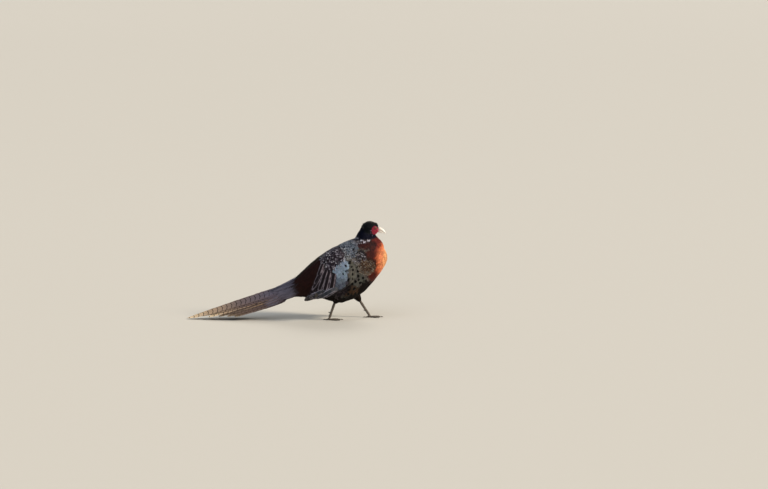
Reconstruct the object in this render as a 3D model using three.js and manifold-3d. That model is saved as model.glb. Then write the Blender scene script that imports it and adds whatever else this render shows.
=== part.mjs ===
// Common pheasant, an adult male caught in mid-stride, at life size in millimetres.
// +X runs towards the bill, +Y to the bird's left, +Z up, and the toes stand flat on the floor at Z 0.
import * as THREE from "three";
import { mergeVertices } from "three/addons/utils/BufferGeometryUtils.js";
import Module from "manifold-3d";

const wasm = await Module();
wasm.setup();

// Neighbouring solids keep this gap, and a section has this much squareness: 2 would be an ellipse.
const GAP = 0.4;
const SQUARENESS = 2.25;
const REACH = 1400;

// The plumage outline of the trunk, as cross-sections from the tail root to the crop.
// Each has a point on the back and one on the belly, as [x, z], and half the width between them.
const TRUNK = [
  { back: [-52, 126], belly: [-42, 68], half: 25 }, // past the cut at the tail root
  { back: [-6, 147], belly: [4, 90], half: 30 }, // tail root, under the coverts
  { back: [40, 187], belly: [60, 91], half: 44 }, // rump
  { back: [93, 237], belly: [132, 89], half: 62 }, // hips
  { back: [146, 277], belly: [200, 66], half: 76 }, // belly, the lowest section
  { back: [202, 307], belly: [280, 93], half: 82 }, // wing bends, the widest section
  { back: [244, 326], belly: [335, 147], half: 79 }, // lower breast
  { back: [284, 336], belly: [382, 209], half: 66 }, // breast
  { back: [322, 338], belly: [402, 250], half: 47 }, // crop
  { back: [346, 330], belly: [396, 288], half: 22 },
];

// The short, drawn-in neck, from inside the shoulders to inside the head, as nape and throat.
const NECK = [
  { back: [242, 300], belly: [394, 268], half: 58 },
  { back: [265, 331], belly: [380, 314], half: 42 },
  { back: [277, 353], belly: [358, 338], half: 30 },
  { back: [290, 376], belly: [347, 352], half: 21 },
];

// The head without its bill, from the back of the crown to the forehead, as crown and chin.
const HEAD = [
  { back: [280, 366], belly: [292, 334], half: 15 },
  { back: [299, 392], belly: [311, 333], half: 22 },
  { back: [324, 404], belly: [330, 337], half: 23.5 },
  { back: [347, 398], belly: [347, 346], half: 18.5 },
  { back: [364, 382], belly: [360, 357], half: 10 },
];

// The folded wing over the flank, from the wing bend to the tips of the longest tertials.
// skin is how far out its outer face lies at that section, from the bird's middle plane.
const WING = [
  { back: [264, 288], belly: [284, 212], skin: 84 },
  { back: [214, 304], belly: [256, 160], skin: 92 },
  { back: [156, 279], belly: [214, 128], skin: 88 },
  { back: [104, 236], belly: [166, 102], skin: 78 },
  { back: [76, 174], belly: [112, 88], skin: 61 },
  { back: [62, 106], belly: [76, 76], skin: 40 },
];
const WING_DEPTH = 26;
const WING_LEAN = 16; // how far its upper edge leans in over the back
const PRIMARIES = { root: [118, 122], tip: [61, 68], half_width: 13, half_depth: 2.6, out: [66, 30] };

// The head's bare and horny parts.
const WATTLE = { at: [343, 16.3, 368], half: [20, 5.5, 18.5], turn: THREE.MathUtils.degToRad(17) };
const EYE = { at: [351, 13.6, 376], radius: 6.2 };
const EAR_TUFT = { root: [318, 16, 391], tip: [300, 19, 394], radius: 3.4 };
const BILL_UPPER = [
  { at: [357, 0, 372.5], rise: 8.4, side: 7.5 },
  { at: [368, 0, 370.5], rise: 7, side: 6.4 },
  { at: [379.5, 0, 364.8], rise: 5, side: 4.4 },
  { at: [388, 0, 356.5], rise: 2.6, side: 2.2 },
  { at: [390.5, 0, 351.5], rise: 0.9, side: 0.8 },
];
const BILL_LOWER = [
  { at: [355, 0, 362.5], rise: 5.2, side: 6.6 },
  { at: [366, 0, 361], rise: 4.4, side: 5.6 },
  { at: [376, 0, 357.3], rise: 3.1, side: 3.8 },
  { at: [383, 0, 353.6], rise: 1.4, side: 1.6 },
];

// The legs, each from the hip to the toes. side is +1 on the left. The right leg trails.
const LEGS = {
  right: { side: -1, hip: [214, -42, 138], knee: [199, -34, 97], hock: [183, -26, 68], foot: [163, -22, 9] },
  left: { side: 1, hip: [244, 44, 140], knee: [266, 44, 99], hock: [290, 43, 63], foot: [325, 42, 9] },
};
const THIGH_RADII = [33, 21, 7.5];
const TARSUS_RADII = [5.2, 4, 3.7, 4.6];
const PAD = [6.4, 6.4, 6];
const SPUR = { up: 0.36, length: 13, radius: 3.2 };
const TOES = [
  { name: "middle", turn: 0, length: 47, radius: 3.9 },
  { name: "inner", turn: 27, length: 35, radius: 3.5 },
  { name: "outer", turn: -26, length: 37, radius: 3.5 },
  { name: "hind", turn: 172, length: 17, radius: 2.9 },
];
const CLAW = { length: 12, drop: 0.7, radius: 2.1 };

// The tail: nine pairs of feathers, graduated in length, folded into a steep roof under the central pair.
const TAIL = {
  root: [-4, 118],
  slope: THREE.MathUtils.degToRad(17.45),
  sag: 6.3e-5, // mm of droop for each mm squared along the tail
  lengths: [425, 388, 342, 300, 266, 238, 212, 186, 160],
  half_width: 17,
  thickness: 1,
  ridge: 27, // how far the ridge of the roof lies above the root
  pitch: 1.55, // how far each pair lies below the last
  slide: 5.2, // how far each pair has slid out past the last, down the slope of the roof
  slid: 5, // the pairs after this many more stay tucked behind it
  roof: THREE.MathUtils.degToRad(38),
  roof_step: THREE.MathUtils.degToRad(2.6),
  splay: THREE.MathUtils.degToRad(8),
};

const v3 = (p) => new THREE.Vector3(...p);

// A closed three.js geometry as a solid, turned the right way round.
function solidOf(geometry) {
  const bare = new THREE.BufferGeometry();
  bare.setAttribute("position", geometry.getAttribute("position"));
  bare.setIndex(geometry.index);
  const merged = mergeVertices(bare, 1e-4);
  const triVerts = new Uint32Array(merged.index.array);
  const vertProperties = new Float32Array(merged.attributes.position.array);
  const made = new wasm.Manifold(new wasm.Mesh({ numProp: 3, vertProperties, triVerts }));
  if (made.volume() > 0) return made;
  for (let i = 0; i < triVerts.length; i += 3) {
    [triVerts[i + 1], triVerts[i + 2]] = [triVerts[i + 2], triVerts[i + 1]];
  }
  return new wasm.Manifold(new wasm.Mesh({ numProp: 3, vertProperties, triVerts }));
}

// A sphere whose rings become cross-sections along a spine. Each station has a centre, a vector to the
// top of its section and one to its side. A blunt body keeps its full size nearly to its ends.
function loft(stations, { sides = 16, rings = 12, blunt = 8, grow = 0, square = SQUARENESS } = {}) {
  const curveOf = (key) => new THREE.CatmullRomCurve3(stations.map((s) => s[key]), false, "catmullrom");
  const centre = curveOf("centre");
  const rise = curveOf("rise");
  const side = curveOf("side");
  const shape = new THREE.SphereGeometry(1, sides, rings);
  const position = shape.getAttribute("position");
  const around = Array.from({ length: sides + 1 }, (_, i) => (i % sides) / sides * 2 * Math.PI);
  const bow = (x) => Math.sign(x) * Math.abs(x) ** (2 / square);
  for (let ring = 0; ring <= rings; ring++) {
    const u = (1 - Math.cos((Math.PI * ring) / rings)) / 2;
    const full = Math.sqrt(Math.max(0, 1 - Math.abs(2 * u - 1) ** blunt));
    const middle = centre.getPoint(u);
    const up = rise.getPoint(u);
    const out = side.getPoint(u);
    up.setLength(up.length() + grow).multiplyScalar(full);
    out.setLength(out.length() + grow).multiplyScalar(full);
    around.forEach((angle, i) => {
      const p = middle.clone();
      p.addScaledVector(up, bow(Math.sin(angle))).addScaledVector(out, bow(Math.cos(angle)));
      position.setXYZ(ring * (sides + 1) + i, p.x, p.y, p.z);
    });
  }
  return solidOf(shape);
}

// Stations from back and belly points in the middle plane.
const outlined = (rows) =>
  rows.map(({ back, belly, half }) => {
    const top = new THREE.Vector3(back[0], 0, back[1]);
    const low = new THREE.Vector3(belly[0], 0, belly[1]);
    return {
      centre: top.clone().add(low).multiplyScalar(0.5),
      rise: top.clone().sub(low).multiplyScalar(0.5),
      side: new THREE.Vector3(0, half, 0),
    };
  });

// Stations of a round limb through points, each with a radius.
function limb(points, radii, across = new THREE.Vector3(0, 1, 0)) {
  return points.map((p, i) => {
    const ahead = points[Math.min(i + 1, points.length - 1)];
    const behind = points[Math.max(i - 1, 0)];
    const along = ahead.clone().sub(behind).normalize();
    const side = across.clone().addScaledVector(along, -across.dot(along)).normalize();
    const rise = new THREE.Vector3().crossVectors(side, along);
    return { centre: p, rise: rise.multiplyScalar(radii[i]), side: side.multiplyScalar(radii[i]) };
  });
}

// Everything on the side of a plane that its normal points to, moved off it by an offset.
function beyond(point, normal, offset = 0) {
  const face = new THREE.BoxGeometry(REACH, REACH, REACH);
  const way = v3(normal).normalize();
  face.translate(0, 0, REACH / 2 + offset);
  face.applyQuaternion(new THREE.Quaternion().setFromUnitVectors(new THREE.Vector3(0, 0, 1), way));
  face.translate(...point);
  return solidOf(face);
}

// The largest piece of a cut, because a cut along a curved neighbour can leave crumbs.
const largest = (solid) => solid.decompose().reduce((a, b) => (a.volume() > b.volume() ? a : b));

const ball = ([x, y, z], [rx, ry, rz], sides, rings, turn = 0) =>
  solidOf(new THREE.SphereGeometry(1, sides, rings).scale(rx, ry, rz).rotateZ(turn).translate(x, y, z));

const mirrored = (p, side) => [p[0], p[1] * side, p[2]];

const pheasant = new THREE.Group();

const FINISHES = {
  green_black: { color: 0x10201f, roughness: 0.35, metalness: 0.2 },
  copper: { color: 0x9c3c14, roughness: 0.5, metalness: 0.1 },
  chestnut: { color: 0x4e2415, roughness: 0.65, metalness: 0 },
  buff_wing: { color: 0x8c7a66, roughness: 0.7, metalness: 0 },
  primary: { color: 0x6f6252, roughness: 0.7, metalness: 0 },
  tail: { color: 0x7a5f4c, roughness: 0.7, metalness: 0 },
  wattle: { color: 0xa51325, roughness: 0.55, metalness: 0 },
  bill: { color: 0xd9d2b4, roughness: 0.4, metalness: 0 },
  eye: { color: 0x9a6a1c, roughness: 0.1, metalness: 0 },
  thigh: { color: 0x2c1c14, roughness: 0.75, metalness: 0 },
  leg: { color: 0x7d7467, roughness: 0.55, metalness: 0 },
  claw: { color: 0x3a332c, roughness: 0.4, metalness: 0 },
};

// Hangs a solid in the group as one named mesh.
function add(name, solid, finish) {
  const { numProp, vertProperties, triVerts } = solid.getMesh();
  const places = new Float32Array((vertProperties.length / numProp) * 3);
  for (let i = 0; i < places.length / 3; i++) {
    places.set(vertProperties.subarray(i * numProp, i * numProp + 3), i * 3);
  }
  const geometry = new THREE.BufferGeometry();
  geometry.setAttribute("position", new THREE.BufferAttribute(places, 3));
  geometry.setIndex(new THREE.BufferAttribute(triVerts, 1));
  const mesh = new THREE.Mesh(geometry, new THREE.MeshStandardMaterial(FINISHES[finish]));
  mesh.name = name;
  pheasant.add(mesh);
}

const trunkSolid = (grow = 0) => loft(outlined(TRUNK), { sides: 24, rings: 21, grow });
const neckSolid = (grow = 0) => loft(outlined(NECK), { sides: 20, rings: 9, grow });
const headSolid = (grow = 0) => loft(outlined(HEAD), { sides: 20, rings: 11, blunt: 5, grow });
const eyeSolid = (side, grow = 0) => ball(mirrored(EYE.at, side), Array(3).fill(EYE.radius + grow), 10, 8);
const billSolid = (rows, grow = 0) =>
  loft(limb(rows.map((r) => v3(r.at)), rows.map((r) => r.rise)).map((s, i) => ({
    ...s,
    side: s.side.clone().setLength(rows[i].side),
  })), { sides: 12, rings: 8, blunt: 6, grow });

// The fleshy body is modelled whole, then parted by thin cuts at the head, neck and rump.
function parted() {
  const whole = trunkSolid().add(neckSolid()).add(headSolid());
  const nape = { point: [316, 0, 350], normal: [0.2, 0, 1] };
  const shoulders = { point: [314, 0, 322], normal: [0.16, 0, 1] };
  const loins = { point: [78, 0, 140], normal: [0.93, 0, 0.37] };
  const above = (cut) => beyond(cut.point, cut.normal, GAP / 2);
  const below = (cut) => beyond(cut.point, cut.normal.map((n) => -n), GAP / 2);
  const tailRoot = [TAIL.root[0], 0, TAIL.root[1]];
  const tailward = [Math.cos(TAIL.slope), 0, Math.sin(TAIL.slope)];
  return {
    head: largest(whole.intersect(above(nape))),
    neck: largest(whole.intersect(below(nape)).intersect(above(shoulders))),
    trunk: largest(whole.intersect(below(shoulders)).intersect(above(loins))),
    rump: largest(whole.intersect(below(loins)).intersect(beyond(tailRoot, tailward))),
  };
}

// A wing is a plump shell laid on the flank, and its hollow face fits the trunk.
function wing(side, flank) {
  const stations = WING.map(({ back, belly, skin }) => {
    const [row] = outlined([{ back, belly, half: WING_DEPTH }]);
    row.centre.y = side * (skin - WING_DEPTH);
    row.rise.y = -side * WING_LEAN;
    return row;
  });
  return largest(loft(stations, { sides: 14, rings: 13, blunt: 5 }).subtract(flank));
}

// The closed primaries, a narrow blade that shows past the tips of the tertials.
function primaries(side, neighbours) {
  const { root, tip, half_width, half_depth, out } = PRIMARIES;
  const shares = [0, 0.35, 0.7, 1];
  const points = shares.map((t) => new THREE.Vector3(
    THREE.MathUtils.lerp(root[0], tip[0], t),
    side * THREE.MathUtils.lerp(out[0], out[1], t),
    THREE.MathUtils.lerp(root[1], tip[1], t),
  ));
  const stations = limb(points, shares.map((t) => half_width * (1 - 0.55 * t * t)));
  stations.forEach((s) => s.side.setLength(half_depth));
  return largest(loft(stations, { sides: 10, rings: 6, blunt: 4 }).subtract(neighbours));
}

// One tail feather: a long blade from a narrow root to a point, lying in its own pane of the roof.
function tailFeather(side, pair) {
  const { root, slope, sag, half_width, thickness } = TAIL;
  const out = Math.min(pair, TAIL.slid);
  const turn = TAIL.splay * (1 - Math.exp(-((out / 4.2) ** 2)));
  const pane = TAIL.roof + TAIL.roof_step * pair;
  const blade = new THREE.BoxGeometry(1, 1, 1, 12, 1, 1);
  const position = blade.getAttribute("position");
  for (let i = 0; i < position.count; i++) {
    const t = position.getX(i) + 0.5;
    const along = GAP + t * TAIL.lengths[pair];
    const point = Math.sqrt(Math.max(0.0025, 1 - Math.max(0, (t - 0.25) / 0.75) ** 1.5));
    const taper = point * Math.min(1, 0.3 + 4.5 * t);
    const half = half_width * (1 - 0.035 * pair) * taper;
    const middle = 0.8 + TAIL.slide * out + half_width * (0.35 + 0.65 * taper) + along * Math.tan(turn);
    const across = middle + 2 * position.getY(i) * half;
    const lift = 2 * position.getZ(i) * (thickness / 2) * (0.6 + 0.4 * taper);
    const outward = across * Math.cos(pane) + lift * Math.sin(pane);
    const upward = TAIL.ridge - TAIL.pitch * pair - across * Math.sin(pane) + lift * Math.cos(pane);
    position.setXYZ(
      i,
      root[0] - along * Math.cos(slope) - upward * Math.sin(slope),
      side * outward,
      root[1] - along * Math.sin(slope) + upward * Math.cos(slope) - sag * along * along,
    );
  }
  return solidOf(blade).intersect(beyond([0, 0, 0], [0, 0, 1]));
}

// A leg: the feathered thigh, the scaly shank, the foot with its four toes, and the spur and claws.
function leg(word, body) {
  const { side, hip, knee, hock, foot } = LEGS[word];
  const floor = beyond([0, 0, 0], [0, 0, 1]);
  const thighLine = limb([v3(hip), v3(knee), v3(hock)], THIGH_RADII);
  const thighSolid = (grow) => loft(thighLine, { sides: 14, rings: 10, grow });
  add(`thigh_${word}`, largest(thighSolid(0).subtract(body)), "thigh");

  const start = v3(hock);
  const end = v3(foot);
  const shank = [0, 0.25, 0.7, 1].map((t) => start.clone().lerp(end, t));
  const padSolid = (grow) => ball([foot[0], foot[1], 5], PAD.map((radius) => radius + grow), 8, 6);
  const tarsusSolid = (grow) => loft(limb(shank, TARSUS_RADII), { sides: 10, rings: 7, blunt: 10, grow });
  add(`tarsus_${word}`, largest(tarsusSolid(0).subtract(thighSolid(GAP)).subtract(padSolid(GAP))), "leg");

  const toes = TOES.map(({ turn, length, radius, name }) => {
    const heading = THREE.MathUtils.degToRad(-side * turn);
    const way = new THREE.Vector3(Math.cos(heading), Math.sin(heading), 0);
    const across = new THREE.Vector3(-way.y, way.x, 0);
    const steps = [0, 0.3, 0.65, 1];
    const raised = name === "hind" ? 7 : 3.4;
    const points = steps.map((t) => {
      const low = THREE.MathUtils.lerp(raised, radius * 0.62, Math.min(1, 1.7 * t));
      return new THREE.Vector3(foot[0], foot[1], low).addScaledVector(way, t * length);
    });
    const radii = steps.map((t) => radius * (1 - 0.25 * t));
    const toeSolid = (grow) => loft(limb(points, radii, across), { sides: 8, rings: 5, blunt: 9, grow });
    const tip = points[3].clone().addScaledVector(way, -1.5).setZ(radius * 0.85);
    const bend = tip.clone().addScaledVector(way, 0.55 * CLAW.length);
    const point = tip.clone().addScaledVector(way, CLAW.length).setZ(CLAW.drop);
    const clawRadii = [CLAW.radius, CLAW.radius * 0.75, 0.5];
    const claw = loft(limb([tip, bend, point], clawRadii, across), { sides: 6, rings: 5, blunt: 6 });
    const clear = claw.subtract(toeSolid(GAP)).intersect(beyond([0, 0, 0.2], [0, 0, 1]));
    add(`claw_${name}_${word}`, largest(clear), "claw");
    return toeSolid(0);
  });
  const whole = toes.reduce((a, b) => a.add(b), padSolid(0));
  const ankle = tarsusSolid(GAP).subtract(padSolid(0));
  add(`foot_${word}`, largest(whole.intersect(floor).subtract(ankle)), "leg");

  const from = start.clone().lerp(end, 1 - SPUR.up);
  const tip = from.clone().add(new THREE.Vector3(-SPUR.length, -side * SPUR.length * 0.35, 2));
  const spur = loft(limb([from, from.clone().lerp(tip, 0.5), tip], [SPUR.radius, SPUR.radius * 0.7, 0.5]), {
    sides: 8,
    rings: 6,
    blunt: 6,
  });
  add(`spur_${word}`, largest(spur.subtract(tarsusSolid(GAP))), "claw");
}

const { head, neck, trunk, rump } = parted();
const body = trunkSolid(GAP).add(neckSolid(GAP));
const bothEyes = eyeSolid(1, GAP).add(eyeSolid(-1, GAP));
const bill = billSolid(BILL_UPPER, GAP).add(billSolid(BILL_LOWER, GAP));
add("head", largest(head.subtract(bothEyes)), "green_black");
add("neck", neck, "green_black");
add("trunk", trunk, "copper");
add("rump", rump, "chestnut");

const skull = headSolid(GAP).add(neckSolid(GAP));
const above = billSolid(BILL_UPPER, GAP);
add("bill_upper", largest(billSolid(BILL_UPPER).subtract(skull)), "bill");
add("bill_lower", largest(billSolid(BILL_LOWER).subtract(skull).subtract(above)), "bill");

for (const [word, side] of [["left", 1], ["right", -1]]) {
  const wattle = ball(mirrored(WATTLE.at, side), WATTLE.half, 14, 8, -side * WATTLE.turn);
  add(`wattle_${word}`, largest(wattle.subtract(skull).subtract(bothEyes).subtract(bill)), "wattle");
  add(`eye_${word}`, eyeSolid(side), "eye");

  const [root, tip] = [v3(mirrored(EAR_TUFT.root, side)), v3(mirrored(EAR_TUFT.tip, side))];
  const tuftRadii = [EAR_TUFT.radius, EAR_TUFT.radius * 0.8, 0.6];
  const tuft = loft(limb([root, root.clone().lerp(tip, 0.5), tip], tuftRadii), { sides: 8, rings: 6, blunt: 6 });
  add(`ear_tuft_${word}`, largest(tuft.subtract(skull)), "green_black");

  const folded = wing(side, body);
  add(`wing_${word}`, folded, "buff_wing");
  add(`primaries_${word}`, primaries(side, body.add(folded)), "primary");
  for (let pair = 0; pair < TAIL.lengths.length; pair++) {
    add(`tail_feather_${pair + 1}_${word}`, tailFeather(side, pair), "tail");
  }
  leg(word, body);
}

// The origin is on the floor, under the middle of the whole bird.
const box = new THREE.Box3().setFromObject(pheasant);
const middle = box.getCenter(new THREE.Vector3());
pheasant.position.set(-middle.x, -middle.y, -box.min.z);

export default pheasant;
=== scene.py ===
import math

import bpy
import numpy as np
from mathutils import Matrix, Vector, noise
from mathutils.bvhtree import BVHTree


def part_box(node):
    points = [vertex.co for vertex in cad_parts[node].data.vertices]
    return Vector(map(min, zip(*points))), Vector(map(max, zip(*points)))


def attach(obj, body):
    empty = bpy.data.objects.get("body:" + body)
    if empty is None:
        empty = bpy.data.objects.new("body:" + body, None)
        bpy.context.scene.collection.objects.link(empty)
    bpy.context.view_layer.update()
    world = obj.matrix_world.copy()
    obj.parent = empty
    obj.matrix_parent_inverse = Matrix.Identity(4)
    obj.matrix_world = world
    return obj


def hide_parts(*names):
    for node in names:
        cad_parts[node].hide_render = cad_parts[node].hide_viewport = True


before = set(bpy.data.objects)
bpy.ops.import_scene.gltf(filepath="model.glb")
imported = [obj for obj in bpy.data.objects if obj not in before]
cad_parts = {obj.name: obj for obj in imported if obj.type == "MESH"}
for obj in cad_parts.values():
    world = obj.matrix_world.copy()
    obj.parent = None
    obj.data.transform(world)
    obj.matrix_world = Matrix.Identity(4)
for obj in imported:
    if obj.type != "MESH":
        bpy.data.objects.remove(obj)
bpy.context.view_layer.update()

# The viewpoint. A person standing with a long lens, 8.2 m from the bird and 1.5 m up, looks 8 degrees down.
# The bird walks to the right, a little left of the middle of the view.
lens = bpy.data.cameras.new("viewpoint")
lens.lens = 95.4
lens.sensor_width = 36
lens.clip_end = 400
viewpoint = bpy.data.objects.new("viewpoint", lens)
viewpoint.location = (0.394, -8.17, 1.47)
viewpoint.rotation_euler = (math.radians(81.9), 0, 0)
bpy.context.collection.objects.link(viewpoint)
bpy.context.scene.camera = viewpoint

# The floor. A plain matt sheet of pale card, pressed from pulp, so that its tone wavers faintly. It is wide
# enough to fill the view behind the bird.
FLOOR_SIDE = 300  # m


def linear(colour):
    """An sRGB hex colour as linear red, green, blue and one."""
    parts = [int(colour[i : i + 2], 16) / 255 for i in (1, 3, 5)]
    return [c / 12.92 if c <= 0.04045 else ((c + 0.055) / 1.055) ** 2.4 for c in parts] + [1.0]


def add(tree, kind, inputs=(), **settings):
    """Adds one node with its settings. inputs are its inputs' values, in order or by name or number. A socket
    is linked, and so is a node, by its first output."""
    made = tree.nodes.new("ShaderNode" + kind)
    for setting, value in settings.items():
        setattr(made, setting, value)
    for socket, value in inputs.items() if isinstance(inputs, dict) else enumerate(inputs):
        value = value.outputs[0] if isinstance(value, bpy.types.Node) else value
        if isinstance(value, bpy.types.NodeSocket):
            tree.links.new(value, made.inputs[socket])
        else:
            made.inputs[socket].default_value = value
    return made


def surface(name, **values):
    """A material with one Principled shader, whose sockets take the values given by name."""
    material = bpy.data.materials.new(name)
    material.use_nodes = True
    shader = material.node_tree.nodes["Principled BSDF"]
    for socket, value in values.items():
        shader.inputs[socket.replace("_", " ")].default_value = value
    return material, material.node_tree, shader


bpy.ops.object.select_all(action="DESELECT")
bpy.ops.mesh.primitive_plane_add(size=FLOOR_SIDE)
floor = bpy.context.object
floor.name = "floor"
card, tree, shader = surface("pale card", Roughness=0.9, IOR=1.45)
pulp = add(tree, "TexNoise", {"Scale": 3.0, "Detail": 4.0})
card_tone = add(tree, "ValToRGB", [pulp])
card_tone.color_ramp.elements[0].color = linear("#b9b6ae")
card_tone.color_ramp.elements[1].color = linear("#c2bfb8")
tree.links.new(card_tone.outputs["Color"], shader.inputs["Base Color"])
floor.data.materials.append(card)

# The light. A broad warm lamp low on the right lights the breast, a cooler one fills the near side from the
# left, one behind edges the back, and a pale surround lifts the shade.
SURROUND_STRENGTH = 0.42
for name, colour, strength, spread, azimuth, height in (  # the last three in degrees
    ("key", (1.0, 0.88, 0.72), 4.7, 14, 76, 30),
    ("fill", (0.84, 0.91, 1.0), 0.75, 50, -30, 52),
    ("back", (1.0, 0.95, 0.88), 0.9, 30, 155, 50),
):
    lamp = bpy.data.lights.new(name, "SUN")
    lamp.color = colour
    lamp.energy = strength
    lamp.angle = math.radians(spread)
    holder = bpy.data.objects.new(name, lamp)
    turn, up = math.radians(azimuth), math.radians(height)
    shine = Vector((-math.sin(turn) * math.cos(up), math.cos(turn) * math.cos(up), -math.sin(up)))
    holder.rotation_euler = shine.to_track_quat("-Z", "Y").to_euler()
    bpy.context.collection.objects.link(holder)
surround = bpy.data.worlds.new("surround")
surround.use_nodes = True
background = surround.node_tree.nodes["Background"]
background.inputs["Color"].default_value = linear("#ccd4de")
background.inputs["Strength"].default_value = SURROUND_STRENGTH
bpy.context.scene.world = surround
bpy.context.scene.view_settings.view_transform = "Standard"

# The skin. A bird's skin is thin and loose, stained where the plumage over it is dark. It is one mesh round
# the head, neck, body, wings and thighs, remeshed from the solids and moved inwards by the depth of the coat.
MM = 0.001
SHIFT = np.array([9.26, 0, 0])  # the frame's place minus the solids' own place, mm
FLESH = ["head", "neck", "trunk", "rump", "wing_left", "wing_right", "thigh_left", "thigh_right"]
SIDES = ((1, "left"), (-1, "right"))
FOREHEAD, FOREHEAD_REACH, FOREHEAD_RISE = (358, 0, 390), 17, 4.5  # fuller than the smoothed solid, mm
SKIN_LEVELS, SKIN_DEPTHS = [-40, 230, 255, 280], [6.5, 6.5, 3.5, 2.4]  # its depth under the coat by level, mm
LEVEL_SLANT = 0.25  # a place's level is its height less this share of how far forward it is
THIN_SHARE = 0.4  # the most of a thin part's thickness that the skin moves in from one side
PROBE = 0.6  # how far inside the surface its thickness is measured from, mm


def metres(points):
    return (np.asarray(points, float) + SHIFT) * MM


def millimetres(points):
    return np.asarray(points, float) / MM - SHIFT


def pick(piece):
    """Makes one object the only selected one, and the active one."""
    bpy.ops.object.select_all(action="DESELECT")
    piece.select_set(True)
    bpy.context.view_layer.objects.active = piece


def apply_modifier(piece, kind, **settings):
    pick(piece)
    modifier = piece.modifiers.new(kind.lower(), kind)
    for setting, value in settings.items():
        setattr(modifier, setting, value)
    bpy.ops.object.modifier_apply(modifier=modifier.name)


def merged_copy(name, nodes, voxel, rounds):
    """One closed, even mesh from copies of solids, smoothed so many rounds. voxel is in mm."""
    pick(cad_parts[nodes[0]])
    for node in nodes:
        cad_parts[node].select_set(True)
    bpy.ops.object.duplicate()
    if len(nodes) > 1:
        bpy.ops.object.join()
    piece = bpy.context.view_layer.objects.active
    piece.name = name
    piece.parent = None
    for key in list(piece.keys()):
        del piece[key]
    piece.data.materials.clear()
    bpy.ops.object.mode_set(mode="EDIT")
    bpy.ops.mesh.select_all(action="SELECT")
    bpy.ops.mesh.remove_doubles(threshold=1e-6)
    bpy.ops.object.mode_set(mode="OBJECT")
    apply_modifier(piece, "REMESH", mode="VOXEL", voxel_size=voxel * MM)
    apply_modifier(piece, "SMOOTH", factor=0.5, iterations=rounds)
    piece.data.polygons.foreach_set("use_smooth", [True] * len(piece.data.polygons))
    return piece


def rows_of(collection, name):
    """One vector of each item of a mesh's collection, as an array."""
    flat = np.zeros(len(collection) * 3)
    collection.foreach_get(name, flat)
    return flat.reshape(-1, 3)


def mesh_points(piece):
    return millimetres(rows_of(piece.data.vertices, "co"))


def mesh_normals(piece):
    return rows_of(piece.data.vertex_normals, "vector")


def set_points(piece, points):
    piece.data.vertices.foreach_set("co", metres(points).ravel())
    piece.data.update()


def smooth_step(low, high, value):
    share = np.clip((value - low) / (high - low), 0, 1)
    return share * share * (3 - 2 * share)


def draping_form(piece):
    """A search tree over a mesh of four-sided faces, and each face's smooth outward direction."""
    points, normals = mesh_points(piece), mesh_normals(piece)
    faces = [list(face.vertices) for face in piece.data.polygons]
    tree = BVHTree.FromPolygons([tuple(p) for p in points], faces)
    leans = [Vector(normals[face].mean(0)).normalized() for face in faces]
    return tree, leans


# The tail's root and the body behind it, as one form for the feathers that cover the step between them.
tail_nodes = [f"tail_feather_{pair + 1}_{ending}" for pair in range(9) for _, ending in SIDES]
cover_form = merged_copy("cover_form", ["rump", "trunk"] + tail_nodes, voxel=2.5, rounds=8)
form = merged_copy("form", FLESH, voxel=3.0, rounds=10)
pick(form)
bpy.ops.object.mode_set(mode="EDIT")
bpy.ops.mesh.select_all(action="SELECT")
bpy.ops.uv.smart_project(angle_limit=math.radians(66), island_margin=0.004)
bpy.ops.object.mode_set(mode="OBJECT")
form.data.uv_layers[0].name = "OFBake"
bpy.ops.object.duplicate()
skin = bpy.context.view_layer.objects.active
skin.name = "skin"
form_points = mesh_points(form)
from_forehead = np.linalg.norm(form_points - FOREHEAD, axis=1)
fuller = FOREHEAD_RISE * (1 - smooth_step(0.3 * FOREHEAD_REACH, FOREHEAD_REACH, from_forehead))
form_points += mesh_normals(form) * fuller[:, None]
set_points(form, form_points)
set_points(skin, form_points)
form_normals = mesh_normals(form)
form_faces = np.array([list(face.vertices) for face in form.data.polygons])
form_uv = np.zeros(len(form.data.loops) * 2)
form.data.uv_layers["OFBake"].data.foreach_get("uv", form_uv)
form_uv = form_uv.reshape(-1, 4, 2)
form_tree, form_leans = draping_form(form)

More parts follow.
